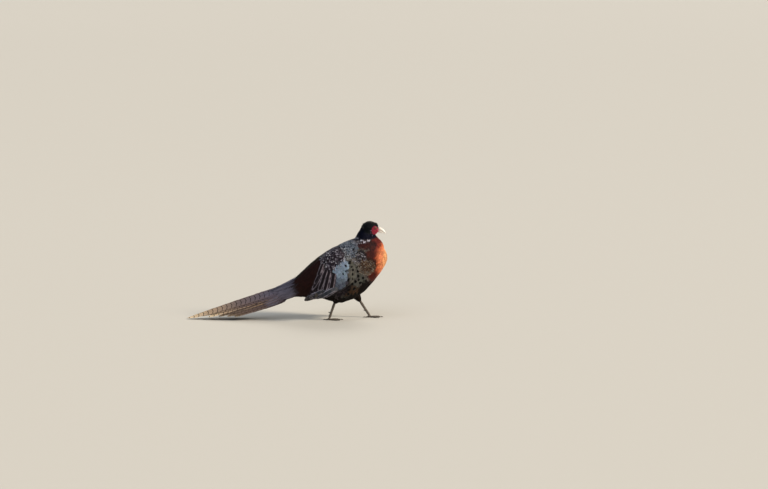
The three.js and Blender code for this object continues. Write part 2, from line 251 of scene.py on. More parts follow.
# Patches of plumage as (tract, middle x, out, up, half sizes along x, out and up, lean, colour), in mm, each
# painted over those before it and alike on both sides. A patch leans forward by lean for each mm up.
PATCHES = [
    ("flank", 250, 0, 180, 400, 400, 400, 0, "#504e4a"),
    ("rump", -60, 0, 150, 215, 120, 150, 0, "#200d0b"),
    ("belly", 180, 0, 60, 150, 100, 48, 0, "#0f0a07"),
    ("belly", -20, 0, 80, 110, 60, 18, 0, "#110b09"),
    ("flank", 252, 80, 124, 60, 60, 26, 0, "#3d2f25"),
    # A small orange-brown patch low on the flank, by the leg: painted warm light where the sun falls on the
    # flank.
    ("flank", 264, 66, 118, 26, 44, 12, 0, "#432f21"),
    ("belly", 322, 0, 136, 60, 90, 40, 0, "#0e0706"),
    ("belly", 270, 0, 92, 80, 56, 34, 0, "#0f0907"),
    ("breast", 372, 0, 300, 60, 90, 46, 0, "#5a1c17"),
    ("breast", 350, 0, 188, 50, 90, 32, 0, "#3c0f09"),
    ("breast", 334, 52, 256, 42, 70, 40, 0, "#36120f"),
    # These five patches grow from dark copper to pale gold towards the front of the breast: painted sunlight
    # on the breast's front, over the feathers' own copper.
    ("breast", 389, 0, 245, 66, 86, 76, 0, "#76301f"),
    ("breast", 391, 0, 245, 60, 80, 69, 0, "#a95637"),
    ("breast", 394, 0, 246, 54, 73, 62, 0, "#c06c48"),
    ("breast", 398, 0, 248, 46, 64, 56, 0, "#c87c54"),
    ("breast", 403, 0, 250, 36, 54, 47, 0, "#cf9263"),
    ("breast", 312, 0, 306, 50, 80, 30, 0, "#2a0f10"),
    ("shoulder", 290, 66, 268, 26, 50, 26, 0, "#141115"),
    ("shoulder", 262, 0, 332, 54, 64, 22, 0, "#17141a"),
    ("chevron", 319, 66, 231, 36, 40, 33, 0, "#24140f"),
    ("mantle", 240, 40, 296, 42, 70, 34, 0, "#525a66"),
    ("shoulder", 262, 66, 290, 9, 40, 7, 0, "#0c0b10"),
    ("wing", 150, 90, 150, 100, 60, 80, 0, "#1b151a"),
    ("covert", 208, 96, 170, 27, 40, 34, 0, "#4a4f5c"),
    ("covert", 208, 96, 186, 30, 44, 24, 0, "#606977"),
    ("covert", 210, 96, 226, 33, 50, 42, 0, "#7d8d9f"),
    ("flank", 231, 96, 228, 6, 40, 5, 0, "#08080b"),
    ("flank", 231, 96, 214, 6, 40, 5, 0, "#08080b"),
    ("flank", 249, 96, 246, 6, 40, 5, 0, "#08080b"),
    # The next four patches are painted sheen: a lighter chestnut on the rump's sides and olive green along
    # the middle of the back, over the maroon.
    ("rump", 30, 50, 180, 90, 120, 130, 0.48, "#250f0d"),
    ("rump", 20, 0, 184, 50, 26, 22, 0.3, "#23211a"),
    ("rump", 70, 0, 226, 44, 32, 24, 0.3, "#27241a"),
    ("rump", 112, 0, 262, 36, 36, 22, 0.3, "#2c2a1b"),
    ("cover", -52, 0, 120, 84, 120, 90, -0.3, "#38343c"),
    ("scapular", 184, 50, 276, 50, 80, 42, 0, "#1f1a23"),
    ("scapular", 170, 70, 250, 34, 60, 34, 0, "#1d1821"),
    ("thigh", 194, 34, 84, 28, 26, 20, 0, "#120c09"),
    ("thigh", 278, 44, 82, 28, 26, 22, 0, "#150e0a"),
    ("neck", 310, 0, 352, 60, 70, 25, 0, "#010214"),
    ("head", 338, 0, 376, 44, 40, 30, 0, "#06090d"),
    ("head", 340, 0, 401, 36, 16, 9, 0, "#26231f"),
    ("bare", 348, 18, 367, 16, 12, 16, 0, "#560a1c"),
    ("head", 329, 18, 366, 1.8, 12, 2.4, 0, "#6d6275"),
    ("head", 331, 18, 357, 1.7, 12, 2.0, 0, "#655a6b"),
    ("head", 337, 18, 346, 1.8, 12, 2.0, 0, "#4f4657"),
    ("ring", 294, 24, 328.5, 9, 24, 4.0, 0, "#a5a2ad"),
    ("ring", 306, 30, 322.5, 8, 20, 4.6, 0, "#b3b0bc"),
    ("ring", 322, 34, 327.5, 7, 16, 3.4, 0, "#a19eaa"),
    ("ring", 274, 12, 335, 15, 20, 4.2, 0, "#7b7a83"),
]
PATCH_EDGE = (0.9, 1.1)  # where a patch fades out, as shares of its half sizes
OUTLINE_RIPPLES = ((0.06, 9.0, 3.0), (0.12, 30.0, 5.0))  # (share of the half sizes, lump size mm, seed)


def ripple(points, size, seed):
    """Smooth noise from -1 to 1, with lumps of the given size in mm."""
    return np.array([noise.noise(Vector(p) / size + Vector((seed, seed * 0.7, 0))) for p in points])


def plumage(points):
    """The ground colour and the patch's number at each point, the same for skin and coat."""
    points = np.array(points, float)
    rough = sum(share * ripple(points, size, seed) for share, size, seed in OUTLINE_RIPPLES)
    outward = np.abs(points[:, 1])
    colours = np.tile(linear(PATCHES[0][-1]), (len(points), 1))
    numbers = np.zeros(len(points), int)
    for number, (_, x, out, up, half_x, half_out, half_up, tilt, colour) in enumerate(PATCHES):
        above = points[:, 2] - up
        reach = np.sqrt(
            ((points[:, 0] - x - tilt * above) / half_x) ** 2
            + ((outward - out) / half_out) ** 2
            + (above / half_up) ** 2
        )
        share = 1 - smooth_step(*PATCH_EDGE, reach + rough)
        colours += (np.array(linear(colour)) - colours) * share[:, None]
        numbers[share > 0.5] = number
    return colours, numbers


def colour_layer(piece, name, colours):
    layer = piece.data.color_attributes.new(name=name, type="FLOAT_COLOR", domain="POINT")
    layer.data.foreach_set("color", np.asarray(colours, float).ravel())


depths = np.interp(form_points[:, 2] - LEVEL_SLANT * form_points[:, 0], SKIN_LEVELS, SKIN_DEPTHS)
for i, (place, lean) in enumerate(zip(form_points, form_normals)):
    _, _, _, through = form_tree.ray_cast(Vector(place - PROBE * lean), -Vector(lean))
    if through is not None:
        depths[i] = min(depths[i], THIN_SHARE * through)
set_points(skin, form_points - form_normals * depths[:, None])
apply_modifier(skin, "SMOOTH", factor=0.5, iterations=8)
skin_colours, _ = plumage(mesh_points(skin))
colour_layer(skin, "Ground", skin_colours)

# Bird skin: a dry thin membrane with painted crease shade 2 mm apart, and a pimple at each feather's root, 3
# mm apart.
bare_skin, tree, shader = surface("bird skin", Roughness=0.65, IOR=1.4)
ground = add(tree, "Attribute", attribute_name="Ground")
where = add(tree, "TexCoord").outputs["Object"]
pimples = add(tree, "TexVoronoi", {"Vector": where, "Scale": 330.0})
# Painted crease shade: noise 2 mm across darkens the skin's stained colour, with no creases in the relief.
crease_shade_noise = add(tree, "TexNoise", {"Vector": where, "Scale": 500.0, "Detail": 3.0})
shade = add(tree, "MapRange", [crease_shade_noise, 0.3, 0.7, 0.55, 0.8])
stained_and_shaded = add(tree, "HueSaturation", {"Color": ground, "Value": shade})
relief = add(tree, "Bump", {"Height": pimples, "Strength": 0.4, "Distance": 0.0006})
tree.links.new(stained_and_shaded.outputs["Color"], shader.inputs["Base Color"])
tree.links.new(relief.outputs["Normal"], shader.inputs["Normal"])
skin.data.materials.append(bare_skin)
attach(skin, "root")
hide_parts(*FLESH)

# The coat. Contour feathers: each a closed vane of keratin barbs on a shaft, rooted in the skin and lying
# over the next row like a tile. One kind of vane is laid in each tract, in that tract's size and colours.
# The lie of the coat is given as (x, out, up) places with the way that feathers point there, on both sides.
LIES = [
    ((366, 0, 386), (-0.9, 0.1, 0.3)),
    ((340, 0, 402), (-1, 0, -0.05)),
    ((312, 0, 390), (-0.8, 0, -0.6)),
    ((296, 0, 365), (-0.4, 0, -0.9)),
    ((335, 22, 372), (-0.9, 0.1, -0.3)),
    ((335, 18, 348), (-0.6, 0, -0.8)),
    ((360, 0, 348), (-0.6, 0, -0.8)),
    ((305, 26, 345), (-0.3, 0.1, -0.95)),
    ((352, 10, 325), (0.3, 0.1, -0.95)),
    ((268, 0, 338), (-0.9, 0, -0.45)),
    ((388, 0, 300), (0.25, 0, -1)),
    ((402, 0, 250), (-0.05, 0, -1)),
    ((382, 0, 205), (-0.5, 0, -0.85)),
    ((335, 0, 145), (-0.8, 0, -0.6)),
    ((270, 0, 90), (-1, 0, -0.1)),
    ((180, 0, 70), (-1, 0, 0.05)),
    ((100, 0, 88), (-1, 0, 0)),
    ((0, 0, 85), (-1, 0, -0.15)),
    ((295, 70, 272), (-0.4, 0.1, -0.9)),
    ((340, 60, 235), (-0.35, 0, -0.93)),
    ((265, 85, 205), (-0.4, 0, -0.9)),
    ((250, 75, 135), (-0.75, 0, -0.6)),
    ((235, 40, 318), (-0.75, 0.2, -0.5)),
    ((205, 92, 225), (-0.22, 0, -0.97)),
    ((178, 60, 280), (-0.5, 0.15, -0.85)),
    ((120, 80, 170), (-0.5, 0, -0.85)),
    ((100, 0, 245), (-0.76, 0, -0.65)),
    ((50, 0, 198), (-0.76, 0, -0.65)),
    ((50, 60, 150), (-0.75, 0, -0.6)),
    ((-20, 0, 138), (-0.93, 0, -0.35)),
    ((-20, 30, 100), (-0.95, 0, -0.3)),
    ((205, 38, 100), (-0.3, 0, -0.95)),
    ((255, 44, 105), (-0.1, 0, -0.98)),
    ((190, 30, 82), (-0.35, 0, -0.93)),
    ((280, 44, 80), (0.45, 0, -0.9)),
]
LIE_BLUR = 20  # keeps a place of the list from counting without end where a feather grows on it, mm squared
ROUND = ([0, 0.1, 0.3, 0.5, 0.66, 0.79, 0.89, 0.96, 1], [0, 0.34, 0.78, 1.0, 0.94, 0.81, 0.62, 0.38, 0])
LANCE = ([0, 0.1, 0.3, 0.5, 0.65, 0.78, 0.88, 0.95, 1], [0, 0.4, 0.85, 1.0, 0.87, 0.66, 0.45, 0.26, 0])
SHOWN = 5  # the station of such a feather that the next row leaves bare
FINE = [-1, -0.72, -0.4, 0, 0.4, 0.72, 1]
PLAIN = [-1, -0.5, 0, 0.5, 1]
TRIES = 14  # roots tried for each square of the spacing
LET_GO, LET_GO_LEAST, EDGE_LET_GO = 0.5, 0.3, 0.45  # past these gaps a vane leaves the form
VANE = {
    "thickness": 0.2,
    "ragged": 0.09,
    "splits": 0.09,
    "uneven": 0.4,
    "curl": 0.6,
    "camber": 0.7,
    "ridge": 0.0,
    "fringe": 0.045,
}
SPLIT_WIDTH = 0.8  # what a split in the vane leaves of its width
CURL_FROM, CURL_SPAN = 0.7, 0.3  # where along the vane its tip starts to curl down, and how long that is
SHAFT_HALF, SHAFT_END = 0.03, 1.1  # the shaft's ridge: its half width, and where it would run out
MAP_EDGE, MAP_CROWDED, MAP_SHARE = 0.02, 20, 0.7  # the map's margin, and the gaps that set a patch's size
MAP_SMALLEST, MAP_LARGEST = 0.003, 0.06
COAT_STRAY, COAT_SIZES = 0.07, (0.88, 1.12)  # how feathers of one tract differ in way and size
COAT_TINT, TINT_LIMITS, BRIGHT_LIMITS = 0.03, (0.8, 1.2), (0.6, 1.4)  # and in colour
ROOT_SUNK, UNMARKED = 0.5, 0.85  # mm; the shade that a spot's place takes on a feather without one
lie_places = np.array([place for place, _ in LIES], float)
lie_ways = np.array([way for _, way in LIES], float)


def lie_of_coat(points):
    """The way that feathers point at each place, as unit vectors."""
    folded = np.array(points, float)
    side = np.where(folded[:, 1] < 0, -1.0, 1.0)
    folded[:, 1] = np.abs(folded[:, 1])
    gaps = ((folded[:, None, :] - lie_places[None]) ** 2).sum(2) + LIE_BLUR
    ways = ((gaps**-2)[:, :, None] * lie_ways[None]).sum(1)
    ways[:, 1] *= side
    return ways / np.linalg.norm(ways, axis=1)[:, None]


def far_apart(spots, spacing):
    """The numbers of the places that are left when each keeps its distance from those before it."""
    cells, kept = {}, []
    for i, spot in enumerate(spots):
        cell = tuple(int(math.floor(c / spacing)) for c in spot)
        near = (
            spots[j]
            for dx in (-1, 0, 1)
            for dy in (-1, 0, 1)
            for dz in (-1, 0, 1)
            for j in cells.get((cell[0] + dx, cell[1] + dy, cell[2] + dz), ())
        )
        if all(((spot - other) ** 2).sum() > spacing**2 for other in near):
            cells.setdefault(cell, []).append(i)
            kept.append(i)
    return kept


def scatter(tract, spacing, seed):
    """Feather roots of one tract, no two nearer than the spacing: places, faces and places on the unwrap."""
    rng = np.random.default_rng(seed)
    corners = form_points[form_faces]
    middles = corners.mean(1)
    _, numbers = plumage(middles + lie_of_coat(middles) * spacing)
    mine = np.flatnonzero([PATCHES[number][0] == tract for number in numbers])
    diagonals = corners[mine][:, 2] - corners[mine][:, 0], corners[mine][:, 3] - corners[mine][:, 1]
    areas = np.linalg.norm(np.cross(*diagonals), axis=1) / 2
    wanted = int(TRIES * areas.sum() / spacing**2)
    picks = mine[rng.choice(len(mine), wanted, p=areas / areas.sum())]
    a, b = rng.random((2, wanted, 1))
    blend = [(1 - a) * (1 - b), a * (1 - b), a * b, (1 - a) * b]
    spots = sum(form_points[form_faces[picks, i]] * blend[i] for i in range(4))
    unwrapped = sum(form_uv[picks, i] * blend[i] for i in range(4))
    kept = far_apart(spots, spacing)
    return spots[kept], picks[kept], unwrapped[kept]


def drape(under, roots, normals, ways, lengths, halves, stations):
    """Lays feathers on a form: each one's shaft and both edges follow the surface from root to tip."""
    tree, leans = under
    count, rows = len(roots), len(stations)
    shaft, left, right, lean = np.zeros((4, count, rows, 3))
    for i in range(count):
        place, way, normal = Vector(roots[i]), Vector(ways[i]), normals[i]
        for k in range(rows):
            if k:
                step = (stations[k] - stations[k - 1]) * lengths[i]
                place = place + way * step
                hit, _, face, gap = tree.find_nearest(place)
                if gap < LET_GO * step + LET_GO_LEAST:
                    place, normal = hit, leans[face]
            way = (way - normal * way.dot(normal)).normalized()
            across = way.cross(normal) * halves[i]
            edges = [place - across, place + across]
            for e in (0, 1):
                hit, _, face, gap = tree.find_nearest(edges[e])
                if gap < EDGE_LET_GO * halves[i]:
                    edges[e] = hit
            shaft[i, k], left[i, k], right[i, k], lean[i, k] = place, edges[0], edges[1], normal
    return shaft, left, right, lean


def vane_faces(rows, columns):
    """The faces of one closed vane: its top grid, a keel below, and fans at root and tip."""
    keel, root, tip = rows * columns, rows * columns + rows, rows * columns + rows + 1
    last = columns - 1
    faces = []
    for k in range(rows - 1):
        a, b = k * columns, (k + 1) * columns
        faces += [(a + c, a + c + 1, b + c + 1, b + c) for c in range(last)]
        faces += [(a, b, keel + k + 1, keel + k), (keel + k, keel + k + 1, b + last, a + last)]
    end = (rows - 1) * columns
    faces += [(root, c + 1, c) for c in range(last)]
    faces += [(end + c, end + c + 1, tip) for c in range(last)]
    faces += [(root, 0, keel), (root, keel, last)]
    faces += [(end, tip, keel + rows - 1), (keel + rows - 1, tip, end + last)]
    return faces


def many(name, points, faces, rims, layers, colours, numbers):
    """One mesh of many like shapes. points is (count, vertices, 3) in mm, faces are those of one shape, and
    edges between two of its rim vertices stay crisp. layers and colours have one row a vertex, numbers one a
    shape."""
    count, each = points.shape[:2]
    mesh = bpy.data.meshes.new(name)
    corners = np.array([v for face in faces for v in face])
    sizes = np.array([len(face) for face in faces])
    offsets = np.arange(count)[:, None]
    loops = (corners[None] + offsets * each).ravel()
    starts = ((np.cumsum(sizes) - sizes)[None] + offsets * len(corners)).ravel()
    mesh.vertices.add(count * each)
    mesh.loops.add(len(loops))
    mesh.polygons.add(len(starts))
    mesh.vertices.foreach_set("co", metres(points.reshape(-1, 3)).ravel())
    mesh.loops.foreach_set("vertex_index", loops)
    mesh.polygons.foreach_set("loop_start", starts)
    mesh.polygons.foreach_set("use_smooth", np.ones(len(starts), bool))
    mesh.update(calc_edges=True)
    ends = np.zeros(len(mesh.edges) * 2, np.int32)
    mesh.edges.foreach_get("vertices", ends)
    on_rim = np.isin(ends % each, rims).reshape(-1, 2).all(1)
    crisp = mesh.attributes.new("sharp_edge", "BOOLEAN", "EDGE")
    crisp.data.foreach_set("value", on_rim)
    for layer, places in layers.items():
        made = mesh.uv_layers.new(name=layer)
        made.data.foreach_set("uv", places.reshape(-1, 2)[loops].ravel())
    piece = bpy.data.objects.new(name, mesh)
    bpy.context.collection.objects.link(piece)
    for layer, values in colours.items():
        colour_layer(piece, layer, values.reshape(-1, 4))
    for layer, values in numbers.items():
        made = mesh.attributes.new(layer, "FLOAT", "POINT")
        made.data.foreach_set("value", np.repeat(values, each))
    return piece


def vanes(name, lines, shape, across, heights, bake_places, seed, colours, lengths, **look):
    """Joined closed vanes. lines are drape's four arrays, and heights how far each feather's stations lie
    over them, mm. shape is the stations and the half width at each as a share of the widest. colours have one
    row a feather, or one for each of its stations. look is what differs from VANE."""
    look = VANE | look
    shaft, left, right, lean = lines
    stations, profile = shape
    rng = np.random.default_rng(seed)
    count, rows = shaft.shape[0], shaft.shape[1] - 2
    inner = slice(1, -1)
    across = np.array(across, float)
    columns = len(across)
    ragged = 1 + look["ragged"] * rng.standard_normal((count, rows, columns))
    split = rng.random((count, rows, columns)) < look["splits"]
    ragged = np.where(split, SPLIT_WIDTH, ragged)
    ragged[:, :, 1:-1] = 1
    along = np.asarray(stations, float)
    x = across[None, None] * np.asarray(profile)[None, inner, None] * ragged
    spread = (right - left)[:, inner, None] / 2
    bend = (right + left)[:, inner, None] / 2 - shaft[:, inner, None]
    lift = rng.uniform(-0.5, 0.5, (count, 1)) * look["uneven"]
    height = np.asarray(heights, float) + lift
    height = height - look["curl"] * np.clip((along - CURL_FROM) / CURL_SPAN, 0, 1) ** 2
    body = height[:, inner, None] - look["camber"] * x**2
    ridge = look["ridge"] * (np.abs(across) < SHAFT_HALF) * (SHAFT_END - along[inner])[:, None]
    top = body + 0.5 * look["thickness"] * (1 - across[None, None] ** 2) + ridge[None]
    grid = shaft[:, inner, None] + spread * x[..., None] + bend * x[..., None] ** 2
    grid = grid + lean[:, inner, None] * top[..., None]
    fringe = rng.standard_normal((count, columns)) * look["fringe"]
    stretch = (shaft[:, -1:] - shaft[:, -3:-2]) * fringe[..., None]
    grid[:, -1] += 2 * stretch
    grid[:, -2] += stretch
    keel = shaft[:, inner] + lean[:, inner] * (height[:, inner] - 0.5 * look["thickness"])[..., None]
    root = shaft[:, :1] + lean[:, :1] * height[:, :1, None]
    tip = shaft[:, -1:] + lean[:, -1:] * height[:, -1:, None]
    points = np.concatenate([grid.reshape(count, -1, 3), keel, root, tip], axis=1)
    v = np.broadcast_to(along[None, inner, None], x.shape)
    keel_v = np.broadcast_to(along[None, inner], keel.shape[:2])
    u = np.concatenate([x.reshape(count, -1), np.zeros((count, rows + 2))], axis=1)
    v = np.concatenate([v.reshape(count, -1), keel_v, np.zeros((count, 1)), np.ones((count, 1))], axis=1)
    places, patch = bake_places
    layers = {
        "Vane": np.stack([u, v], axis=2),
        "OFBake": places[:, None] + patch * np.stack([0.5 * u, v - 0.5], axis=2),
    }
    numbers = {
        "Tone": rng.uniform(-1, 1, count),
        "Length": np.broadcast_to(lengths, (count,)).astype(float),
    }
    spread_colours = {}
    for layer, values in colours.items():
        values = np.asarray(values, float)
        if values.ndim == 2:
            values = np.repeat(values[:, None], rows + 2, axis=1)
        inside = values[:, inner]
        parts = [np.repeat(inside, columns, axis=1), inside, values[:, :1], values[:, -1:]]
        spread_colours[layer] = np.concatenate(parts, axis=1)
    sides = [k * columns + c for k in range(rows) for c in (0, columns - 1)]
    rims = sides + [rows * columns + rows, rows * columns + rows + 1]
    return many(name, points, vane_faces(rows, columns), rims, layers, spread_colours, numbers)


def plain_colours(count, ground, rim, mark):
    """One set of hex colours for all of a piece's feathers."""
    layers = (("Ground", ground), ("Rim", rim), ("Mark", mark))
    return {layer: np.tile(linear(colour), (count, 1)) for layer, colour in layers}


def bake_patches(unwrapped):
    """Each root's place on the skin's unwrap, fitted to the map, and a patch size that keeps them apart."""
    low, high = unwrapped.min(0), unwrapped.max(0)
    scale = (1 - 2 * MAP_EDGE) / max(high - low)
    places = MAP_EDGE + (unwrapped - low) * scale
    gaps = np.sqrt(((places[:, None] - places[None]) ** 2).sum(2))
    np.fill_diagonal(gaps, np.inf)
    crowded = np.percentile(gaps.min(1), MAP_CROWDED)
    return places, float(np.clip(crowded * MAP_SHARE, MAP_SMALLEST, MAP_LARGEST))


# Feather keratin: barbs side by side like a comb's teeth give a soft sheen with fine slanting lines, drawn
# 1 mm apart, coarser than life, so that they show. Each feather's rim frays and wavers along its edge.
KERATIN = {"Roughness": 0.5, "IOR": 1.54, "Specular_IOR_Level": 0.07}
NO_MARK = (0.5, 0.1, 0.1, 0)
FRAY_SCALE, WAVER_SCALE = 420.0, 75.0  # lumps of 2.4 and 13 mm
FRAYED, WAVERED = 0.14, 0.3  # how far they move a rim, as shares of the vane
RIM_SHIFT = (FRAYED + WAVERED) / 2  # what they move it by on average
BARB_TURNS = 2 * math.pi / 1.0  # radians of the barbs' wave in a mm
BARB_DEPTH = 0.0002  # m


def vane_keratin(
    name, half, edge, shaft_tone=0.9, mark=NO_MARK, blunt=0.5, bars=None, hem=None, lopsided=0.0, **values
):
    """edge is (start, softness, strength) of the rim and mark (middle along, half sizes along and across,
    strength) of the spot, as shares of the vane, which rounds off from blunt on and is half mm to one side.
    bars are (spacing mm, share dark, strength, reach across). hem is a dark border like edge, in the mark's
    colour. lopsided widens the rim on one side, and shaft_tone is the brightness along the shaft."""
    material, tree, shader = surface(name, **(KERATIN | values))
    split = add(tree, "SeparateXYZ", [add(tree, "UVMap", uv_map="Vane")])
    across, along = split.outputs["X"], split.outputs["Y"]
    side = add(tree, "Math", [across], operation="ABSOLUTE")
    length = add(tree, "Attribute", attribute_name="Length").outputs["Fac"]
    tone = add(tree, "Attribute", attribute_name="Tone").outputs["Fac"]
    mm_along = add(tree, "Math", [along, length], operation="MULTIPLY")
    where = add(tree, "TexCoord").outputs["Object"]
    fray = add(tree, "TexNoise", {"Vector": where, "Scale": FRAY_SCALE, "Detail": 2.0})
    waver = add(tree, "TexNoise", {"Vector": where, "Scale": WAVER_SCALE, "Detail": 1.0})

    past = add(tree, "MapRange", [along, blunt, 1.0])
    one_sided = add(tree, "Math", [across, lopsided, side], operation="MULTIPLY_ADD")
    pair = add(tree, "CombineXYZ", [one_sided, past])
    reach = add(tree, "VectorMath", [pair], operation="LENGTH").outputs["Value"]
    wavered = add(tree, "Math", [waver, WAVERED, reach], operation="MULTIPLY_ADD")
    frayed = add(tree, "Math", [fray, FRAYED, wavered], operation="MULTIPLY_ADD")

    borders = []
    for start, softness, strength in (edge, hem) if hem else (edge,):
        limits = [frayed, start + RIM_SHIFT - softness, start + RIM_SHIFT + softness, 0.0, strength]
        borders.append(add(tree, "MapRange", limits, interpolation_type="SMOOTHSTEP"))
    breaks = add(tree, "MapRange", [waver, 0.38, 0.56, 1.0, 0.45])
    rim = add(tree, "Math", [borders[0], breaks], operation="MULTIPLY")

    if bars:
        spacing, share, strength, wide = bars
        bowed = add(tree, "Math", [side, -0.35 * half, mm_along], operation="MULTIPLY_ADD")
        wavy = add(tree, "Math", [fray, 0.2 * spacing, bowed], operation="MULTIPLY_ADD")
        own_start = add(tree, "Math", [tone, spacing, wavy], operation="MULTIPLY_ADD")
        turns = add(tree, "Math", [own_start, 1 / spacing], operation="MULTIPLY")
        fold = add(tree, "Math", [turns, 1.0], operation="PINGPONG")
        limits = [fold, 1.3 * share, 0.8 * share, 0.0, strength]
        dark = add(tree, "MapRange", limits, interpolation_type="SMOOTHSTEP")
        inside = add(tree, "MapRange", [side, wide + 0.12, wide - 0.12], interpolation_type="SMOOTHSTEP")
        marked = add(tree, "Math", [dark, inside], operation="MULTIPLY")
    else:
        off = add(tree, "Math", [along, mark[0]], operation="SUBTRACT")
        offset = add(tree, "CombineXYZ", [off, side])
        scaled = add(tree, "VectorMath", [offset, (1 / mark[1], 1 / mark[2], 0)], operation="MULTIPLY")
        far = add(tree, "VectorMath", [scaled], operation="LENGTH").outputs["Value"]
        blotted = add(tree, "Math", [fray, 0.7, far], operation="MULTIPLY_ADD")
        limits = [blotted, 1.5, 1.2, 0.0, mark[3]]
        marked = add(tree, "MapRange", limits, interpolation_type="SMOOTHSTEP")
    if hem:
        marked = add(tree, "Math", [marked, borders[1]], operation="MAXIMUM")

    ground = add(tree, "Attribute", attribute_name="Ground")
    rim_colour = add(tree, "Attribute", attribute_name="Rim")
    mark_colour = add(tree, "Attribute", attribute_name="Mark")
    rimmed = add(tree, "Mix", {0: rim, 6: ground, 7: rim_colour}, data_type="RGBA").outputs[2]
    spotted = add(tree, "Mix", {0: marked, 6: rimmed, 7: mark_colour}, data_type="RGBA").outputs[2]

    slant = add(tree, "Math", [side, -1.1 * half, mm_along], operation="MULTIPLY_ADD")
    lines = add(tree, "Math", [slant, BARB_TURNS], operation="MULTIPLY")
    wave = add(tree, "Math", [lines], operation="SINE")
    varied = add(tree, "Math", [tone, 0.14, 0.75], operation="MULTIPLY_ADD")
    mottled = add(tree, "Math", [fray, 0.5, varied], operation="MULTIPLY_ADD")
    combed = add(tree, "Math", [wave, 0.1, mottled], operation="MULTIPLY_ADD")
    near_shaft = add(tree, "MapRange", [side, 0.35 / half, 0.9 / half, shaft_tone, 1.0])
    value = add(tree, "Math", [combed, near_shaft], operation="MULTIPLY")
    toned = add(tree, "HueSaturation", {"Color": spotted, "Value": value})
    relief = add(tree, "Bump", {"Height": wave, "Strength": 0.5, "Distance": BARB_DEPTH})
    tree.links.new(toned.outputs["Color"], shader.inputs["Base Color"])
    tree.links.new(relief.outputs["Normal"], shader.inputs["Normal"])
    return material


def coat(
    tract, slot, seed, sizes, rims, keratin, paired=True, shape=ROUND, across=FINE, slope=0.15, varied=0.09,
    mark=None, marks_apart=None, **look
):
    """Lays one tract of feathers, in one piece or one a side. sizes are the spacing, length and half width in
    mm. Each rim takes one of the hex colours by chance. mark is the colour of the marks, which are left off
    between feathers marks_apart mm from each other. The root lies lower than the tip by slope times the
    length, and varied is how much the brightness changes from one feather to the next."""
    spacing, length, half = sizes
    stations = np.array(shape[0])
    material = vane_keratin(f"{tract} vane", half, **keratin)
    roots, faces, unwrapped = scatter(tract, spacing, seed)
    for side, ending in ((-1, "_right"), (1, "_left")) if paired else ((1, ""),):
        own = roots[:, 1] * side > 0 if paired else np.ones(len(roots), bool)
        rng = np.random.default_rng(seed + side)
        count = int(own.sum())
        ways = lie_of_coat(roots[own]) + COAT_STRAY * rng.standard_normal((count, 3))
        grown = rng.uniform(*COAT_SIZES, count)
        lengths, halves = length * grown, half * grown
        normals = [form_leans[face] for face in faces[own]]
        lines = drape((form_tree, form_leans), roots[own], normals, ways, lengths, halves, shape[0])
        shown = lines[0][:, SHOWN]
        ground, _ = plumage(shown)
        ground[:, :3] *= np.clip(1 + COAT_TINT * rng.standard_normal((count, 3)), *TINT_LIMITS)
        ground[:, :3] *= np.clip(1 + varied * rng.standard_normal((count, 1)), *BRIGHT_LIMITS)
        rim = np.array([linear(colour) for colour in rims])[rng.integers(len(rims), size=count)]
        marks = np.tile(linear(mark or rims[0]), (count, 1))
        if marks_apart:
            plain = np.ones(count, bool)
            plain[far_apart(shown, marks_apart)] = False
            marks[plain] = UNMARKED * ground[plain]
        piece = vanes(
            f"{tract}_coat{ending}", lines, shape, across,
            ROOT_SUNK - (slope * lengths)[:, None] * (1 - stations),
            bake_patches(unwrapped[own]), seed + 10 * side,
            {"Ground": ground, "Rim": rim, "Mark": marks}, lengths, **look,
        )
        piece.data.materials.append(material)
        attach(piece, "root")


# The breast. Coppery feathers with thin purple-black rims make a scalloped pattern. They lie flat and close
# over the crop, each rooted under the row above. Towards the front their colour is painted pale gold as
# sunlight.
coat(
    "breast", "feathers_body", 11, (5.2, 18, 5.0), ("#1a080b", "#3b150f", "#6a2f18"),
    {"edge": (0.84, 0.1, 0.6), "shaft_tone": 0.8},
    paired=False, camber=0.5, slope=0.12, varied=0.16,
)
# The belly. Loose blackish-brown feathers with open, downy edges hang from the skin between the legs. They
# are dull, because their barbs don't hook together.
coat(
    "belly", "feathers_body", 12, (6.6, 24, 5.4), ("#1c130e", "#120b08"),
    {"edge": (0.8, 0.2, 0.3), "Roughness": 0.8},
    paired=False, ragged=0.14, splits=0.15, fringe=0.08,
)
# The thighs. The same loose dark feathers, but shorter, grow round each thigh and stop at the joint over the
# shank.
coat(
    "thigh", "feathers_thigh", 23, (4.4, 15, 3.6), ("#241811",),
    {"edge": (0.8, 0.2, 0.3), "Roughness": 0.8},
    ragged=0.14, splits=0.15, fringe=0.08, camber=0.4,
)
# The flanks. Large buff-grey feathers, rooted at the side of the breast, reach over the front edge of the
# folded wing. Every third or so shows a black spot near its tip.
coat(
    "flank", "feathers_body", 13, (7.0, 27, 6.5), ("#757165", "#5f5a52", "#80827f"),
    {"edge": (0.8, 0.14, 0.55), "shaft_tone": 0.85, "mark": (0.76, 0.25, 1.0, 1), "Roughness": 0.6},
    mark="#050404", marks_apart=15, fringe=0.08, splits=0.12, ragged=0.1, camber=0.5,
)
# The shoulders. Black feathers with a pale edge, wider on one side, and a dark hem round it. They lie in
# close rows where the neck meets the wing.
coat(
    "shoulder", "feathers_body", 14, (5.6, 19, 5.2), ("#a19fa8", "#75727c", "#403b43", "#877f80"),
    {
        "edge": (0.62, 0.08, 0.9), "shaft_tone": 1.2, "mark": (0.4, 0.1, 0.2, 0.5),
        "hem": (0.88, 0.06, 0.8), "lopsided": 0.25,
    },
    paired=False, mark="#0d0a0b", camber=0.5, slope=0.12,
)
